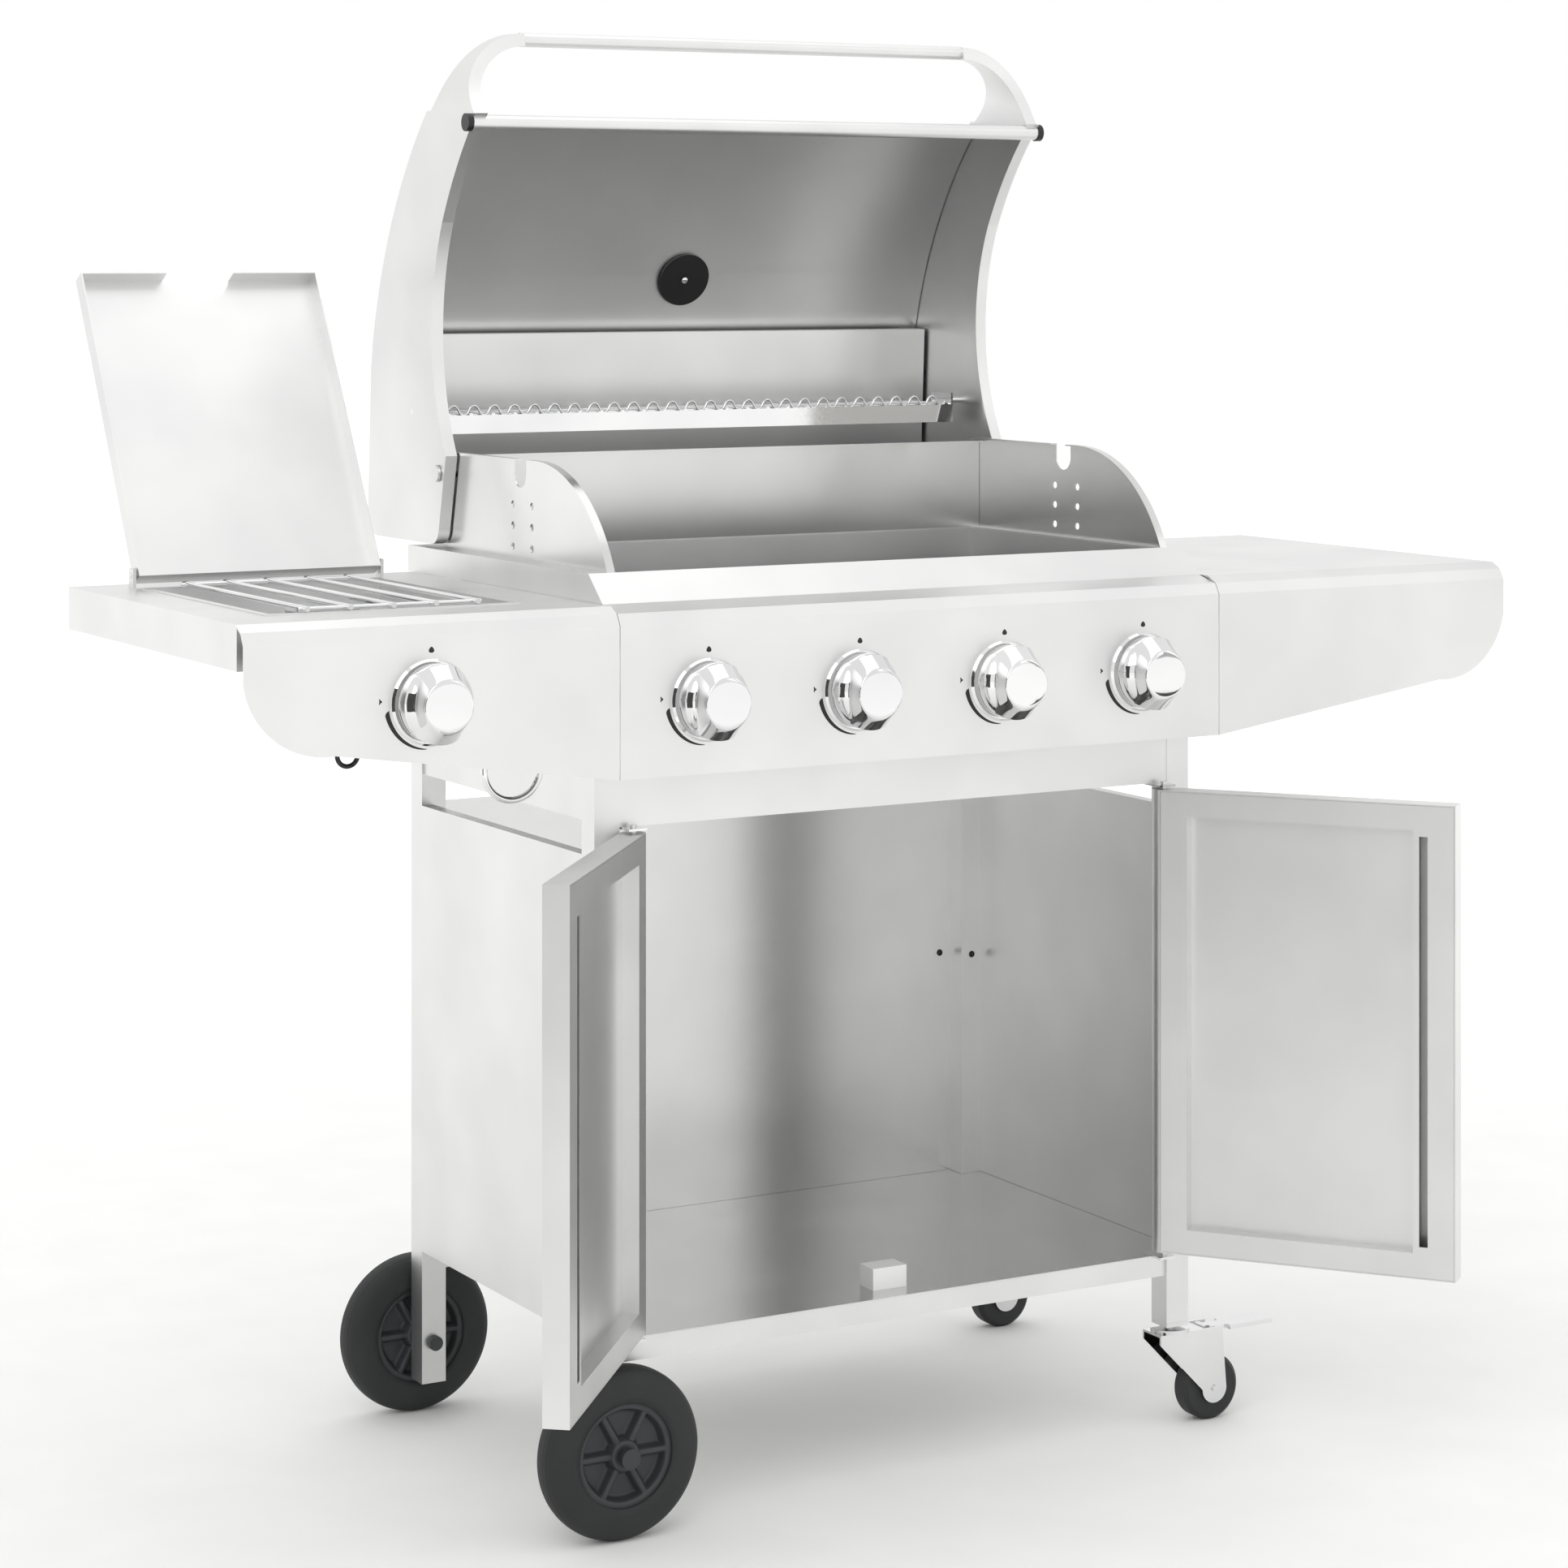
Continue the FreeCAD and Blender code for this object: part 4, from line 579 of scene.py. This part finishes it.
@dataclass
class Hooks:
    """The small black hook and the chromed ring that hang behind the left panel.

    Args:
        cart: the cart's measures.
        y: the plane that both hang in, in mm.
        top: the height that they hang from, in mm.
    """

    cart: Cart
    y: float = 58.0
    top: float = 816.0

    def build(self) -> None:
        """Build both in place of the CAD hooks: each is a straight hanger that runs into a circle."""
        for name, x, z, radius, wire, finish, slot, stands_for in (
                ("small_hook", -550.0, 698.0, 9.4, 2.1, BLACK, "black_plastic", ("shelf_hook",)),
                ("ring_hook", -395.0, 676.0, 27.0, 3.0, CHROME, "chrome", ())):
            turn = np.linspace(pi / 2, pi / 2 + 2 * pi * 0.97, 72)
            across, up = x + radius * np.cos(turn), z + radius * np.sin(turn)
            loop = np.stack([across, np.full(72, self.y), up], axis=1)
            drop = np.linspace(self.top, z + radius + 1.0, 12)
            stem = np.stack([np.full(12, x), np.full(12, self.y), drop], axis=1)
            piece = swept(name, self.cart.at(np.concatenate([stem, loop])), wire / 1000)
            finish_piece(piece, finish, "cart", slot, *stands_for)


@dataclass
class RackLoops:
    """The row of wire loops on the front strip of the warming rack.

    Args:
        cart: the cart's measures.
        half: half the rack's width, in mm.
        count: number of loops.
        y: the plane that the wire lies in, in mm.
        z: the height of its middle, in mm.
        reach: how far it rises over its middle, in mm.
    """

    cart: Cart
    half: float = 284.0
    count: int = 26
    y: float = 434.0
    z: float = 972.5
    reach: float = 4.6

    def build(self) -> None:
        """A wire that rises and falls as a rounded wave along x."""
        run = np.linspace(-1, 1, self.count * 24 + 1)
        wave = np.sin(run * pi * self.count)
        rise = np.sign(wave) * np.abs(wave) ** 0.7 * self.reach
        path = np.stack([run * self.half, np.full(run.shape, self.y), self.z + rise], axis=1)
        piece = swept("rack_loops", self.cart.at(path), 0.0013, 8)
        finish_piece(piece, CHROME, "rack", "chrome")


@dataclass
class Screws:
    """Small domed screw heads in the cabinet's rear corner.

    Args:
        cart: the cart's measures.
        places: x and y of each head's seat, in mm.
        z: their height, in mm.
        radius: radius of a head, in mm.
        rise: height of a head over its seat, in mm.
    """

    cart: Cart
    places: tuple[tuple[float, float], ...] = ((282.0, 441.5), (306.5, 417.8),
                                               (-282.0, 441.5), (-306.5, 417.8))
    z: float = 395.0
    radius: float = 3.4
    rise: float = 1.6

    def build(self) -> None:
        """Each head is a quarter circle turned about y."""
        turn = np.linspace(0, pi / 2, 9)
        profile = np.stack([self.radius * np.sin(turn), -self.rise * np.cos(turn)], axis=1)
        for number, (x, y) in enumerate(self.places):
            head = turned(f"screw_{number}", profile / 1000, self.cart.at([x, y, self.z]), Grain.Y, 32)
            finish_piece(head, BLACK, "cart", "black_plastic")


@dataclass
class Thermometer:
    """The light end of the spindle in the black disc inside the hood.

    Args:
        node: the CAD thermometer.
        radius: radius of the spindle's end, in metres.
        rise: height of its dome, in metres.
    """

    node: str = "thermometer"
    radius: float = 0.0036
    rise: float = 0.0014

    def build(self) -> None:
        """A small dome on the spindle's inner end, turned about the disc's own line."""
        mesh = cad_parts[self.node].data
        points = np.empty(len(mesh.vertices) * 3, np.float32)
        mesh.vertices.foreach_get("co", points)
        points = points.reshape(-1, 3).astype(float)
        # the disc is thinnest along its axis, and its inner side looks to the front of the open hood
        axis = np.linalg.svd(points - points.mean(axis=0), full_matrices=False)[2][2]
        inward = axis * (-np.sign(axis[1]))
        reach = points @ inward
        tip = points[reach > reach.max() - 0.0002].mean(axis=0)
        side = np.array([1.0, 0.0, 0.0])
        up = np.cross(inward, side)
        turn = np.linspace(0, 2 * pi, 32, endpoint=False)[None, :, None]
        dome = np.linspace(0, pi / 2, 9)[::-1, None, None]
        ring = np.cos(turn) * side + np.sin(turn) * up
        grid = tip + self.radius * np.sin(dome) * ring + self.rise * np.cos(dome) * inward
        finish_piece(surface("spindle_end", grid, wrap=True), CHROME, "hood", "chrome")


@dataclass
class Room:
    """Floor, lights, dark cards for reflections, world and camera.

    Args:
        cart: the cart's measures.
    """

    cart: Cart

    def card(self, name: str, corners: list[list[float]], finish: Finish, seen: bool) -> bpy.types.Object:
        """A flat card of four corners, staged.

        Args:
            name: its name.
            corners: two rows of two points, in mm.
            finish: its finish.
            seen: whether the camera sees it.
        Returns:
            The card.
        """
        item = surface(name, self.cart.at(np.array(corners, float).reshape(2, 2, 3)))
        item.data.materials.append(finish.build())
        item.visible_camera = seen
        item.visible_shadow = seen
        item.visible_diffuse = seen
        return item

    def lamp(self, name: str, place: list[float], target: list[float], size: float, power: float) -> None:
        """A square soft light.

        Args:
            name: its name.
            place: its middle, in mm.
            target: the point it faces, in mm.
            size: its side in metres.
            power: its power in watts.
        """
        data = bpy.data.lights.new(name, "AREA")
        data.size = size
        data.energy = power
        item = bpy.data.objects.new(name, data)
        start, end = self.cart.at(place), self.cart.at(target)
        item.location = start
        item.rotation_euler = Vector(end - start).to_track_quat("-Z", "Y").to_euler()
        bpy.context.scene.collection.objects.link(item)

    def build(self) -> None:
        """Build the stage."""
        floor = Glow("floor_matt_paint", "#f3f3f2", "#f6f6f5", (0.75, 0.85), 0.0, 3.0, 0.005)
        wide = 40000
        corners = [[-wide, -wide, 0], [wide, -wide, 0], [-wide, wide, 0], [wide, wide, 0]]
        self.card("floor", corners, floor, True)
        dark = Finish("cloth_dark_grey", "#3a3937", "#454442", (0.8, 0.9), 0.0, 2.0, 0.01)
        pale = Finish("cloth_pale_grey", "#b4b3b0", "#bcbbb8", (0.8, 0.9), 0.0, 2.0, 0.01)
        flags = (
            ("flag_right_low", (1790, -2460), (2170, -2310), 0, 270, dark),
            ("flag_right_high", (1790, -2460), (2170, -2310), 580, 2600, pale),
            ("flag_far", (2700, -1500), (2850, -1200), 580, 2600, pale),
            ("flag_left", (-2700, -250), (-2350, -1650), 0, 1700, dark),
        )
        for name, start, end, low, top, cloth in flags:
            corners = [[*start, low], [*end, low], [*start, top], [*end, top]]
            self.card(name, corners, cloth, False)
        self.lamp("key", [-2600, -2200, 3300], [0, 200, 700], 2.6, 30)
        self.lamp("fill", [2600, -2600, 2400], [0, 200, 700], 2.4, 8)
        self.lamp("top", [0, 300, 3600], [0, 200, 800], 2.8, 14)
        world = bpy.data.worlds.new("studio")
        bpy.context.scene.world = world
        world.use_nodes = True
        back = world.node_tree.nodes["Background"]
        back.inputs["Color"].default_value = srgb("#ffffff")
        back.inputs["Strength"].default_value = 1.0
        bpy.context.scene.view_settings.view_transform = "Standard"
        eye = bpy.data.cameras.new("eye")
        eye.lens = 88.06
        eye.sensor_width = 36
        eye.shift_y = -0.337
        eye.clip_end = 100
        item = bpy.data.objects.new("eye", eye)
        item.location = self.cart.at([-1837.9, -2963.5, 1123.3])
        item.rotation_euler = (pi / 2, 0, -radians(29.58))
        bpy.context.scene.collection.objects.link(item)
        bpy.context.scene.camera = item


def finishes() -> dict[str, tuple[Finish, float]]:
    """Finish and edge radius of every node that is shown as it was cut.

    Returns:
        Node name to finish and radius in mm.
    """
    table: dict[str, tuple[Finish, float]] = {}
    groups = (
        (STEEL_X, 0.5, "fascia_centre fascia_left fascia_right front_beam frame_rails "
                       "hood_cap_left hood_cap_right "
                       "hood_skin hood_handle lip_bar firebox_rim shelf_left shelf_right"),
        (STEEL_Z, 0.5, "legs_left legs_right side_panels door_left door_right side_burner_lid"),
        (BRIGHT, 0.0, "back_panel bottom_shelf firebox_back firebox_end_left firebox_end_right"),
        (STEEL_Y, 0.0, "firebox_tub flame_tamers burners side_burner_pan"),
        (CHROME, 0.4, "castor_fork_front castor_fork_rear castor_brake bezels door_hinge_lugs"),
        (CHROME, 0.0, "warming_rack pot_support"),
        (ALUMINIUM, 0.0, "manifold drip_tray side_burner_head"),
        (BRASS, 0.0, "gas_valves gas_inlet push_collar_1 push_collar_2 push_collar_3 push_collar_4 "
                     "push_collar_side"),
        (IRON, 0.0, "grates"),
        (RUBBER, 1.0, "castor_wheel_front castor_wheel_rear"),
        (BLACK, 0.5, "lip_bar_plugs thermometer"),
        (GREY, 0.8, "wheel_axles"),
        (WHITE, 5.0, "door_catch"),
    )
    for finish, edge, names in groups:
        table.update({name: (finish, edge) for name in names.split()})
    return table


def main() -> None:
    """Build the grill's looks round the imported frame, and the room it stands in."""
    cart = Cart(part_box("fascia_centre")[0][1])
    Carried(finishes()).build()
    Wheel(cart, "front", 12.0).build()
    Wheel(cart, "rear", 447.0).build()
    for number, x in enumerate((-231.6, -77.2, 77.2, 231.6), start=1):
        Knob(cart, str(number), x, 733.0).build()
    Knob(cart, "side", -498.0, 746.0).build()
    Hooks(cart).build()
    RackLoops(cart).build()
    Screws(cart).build()
    Thermometer().build()
    Room(cart).build()


if __name__ == "__main__":
    main()
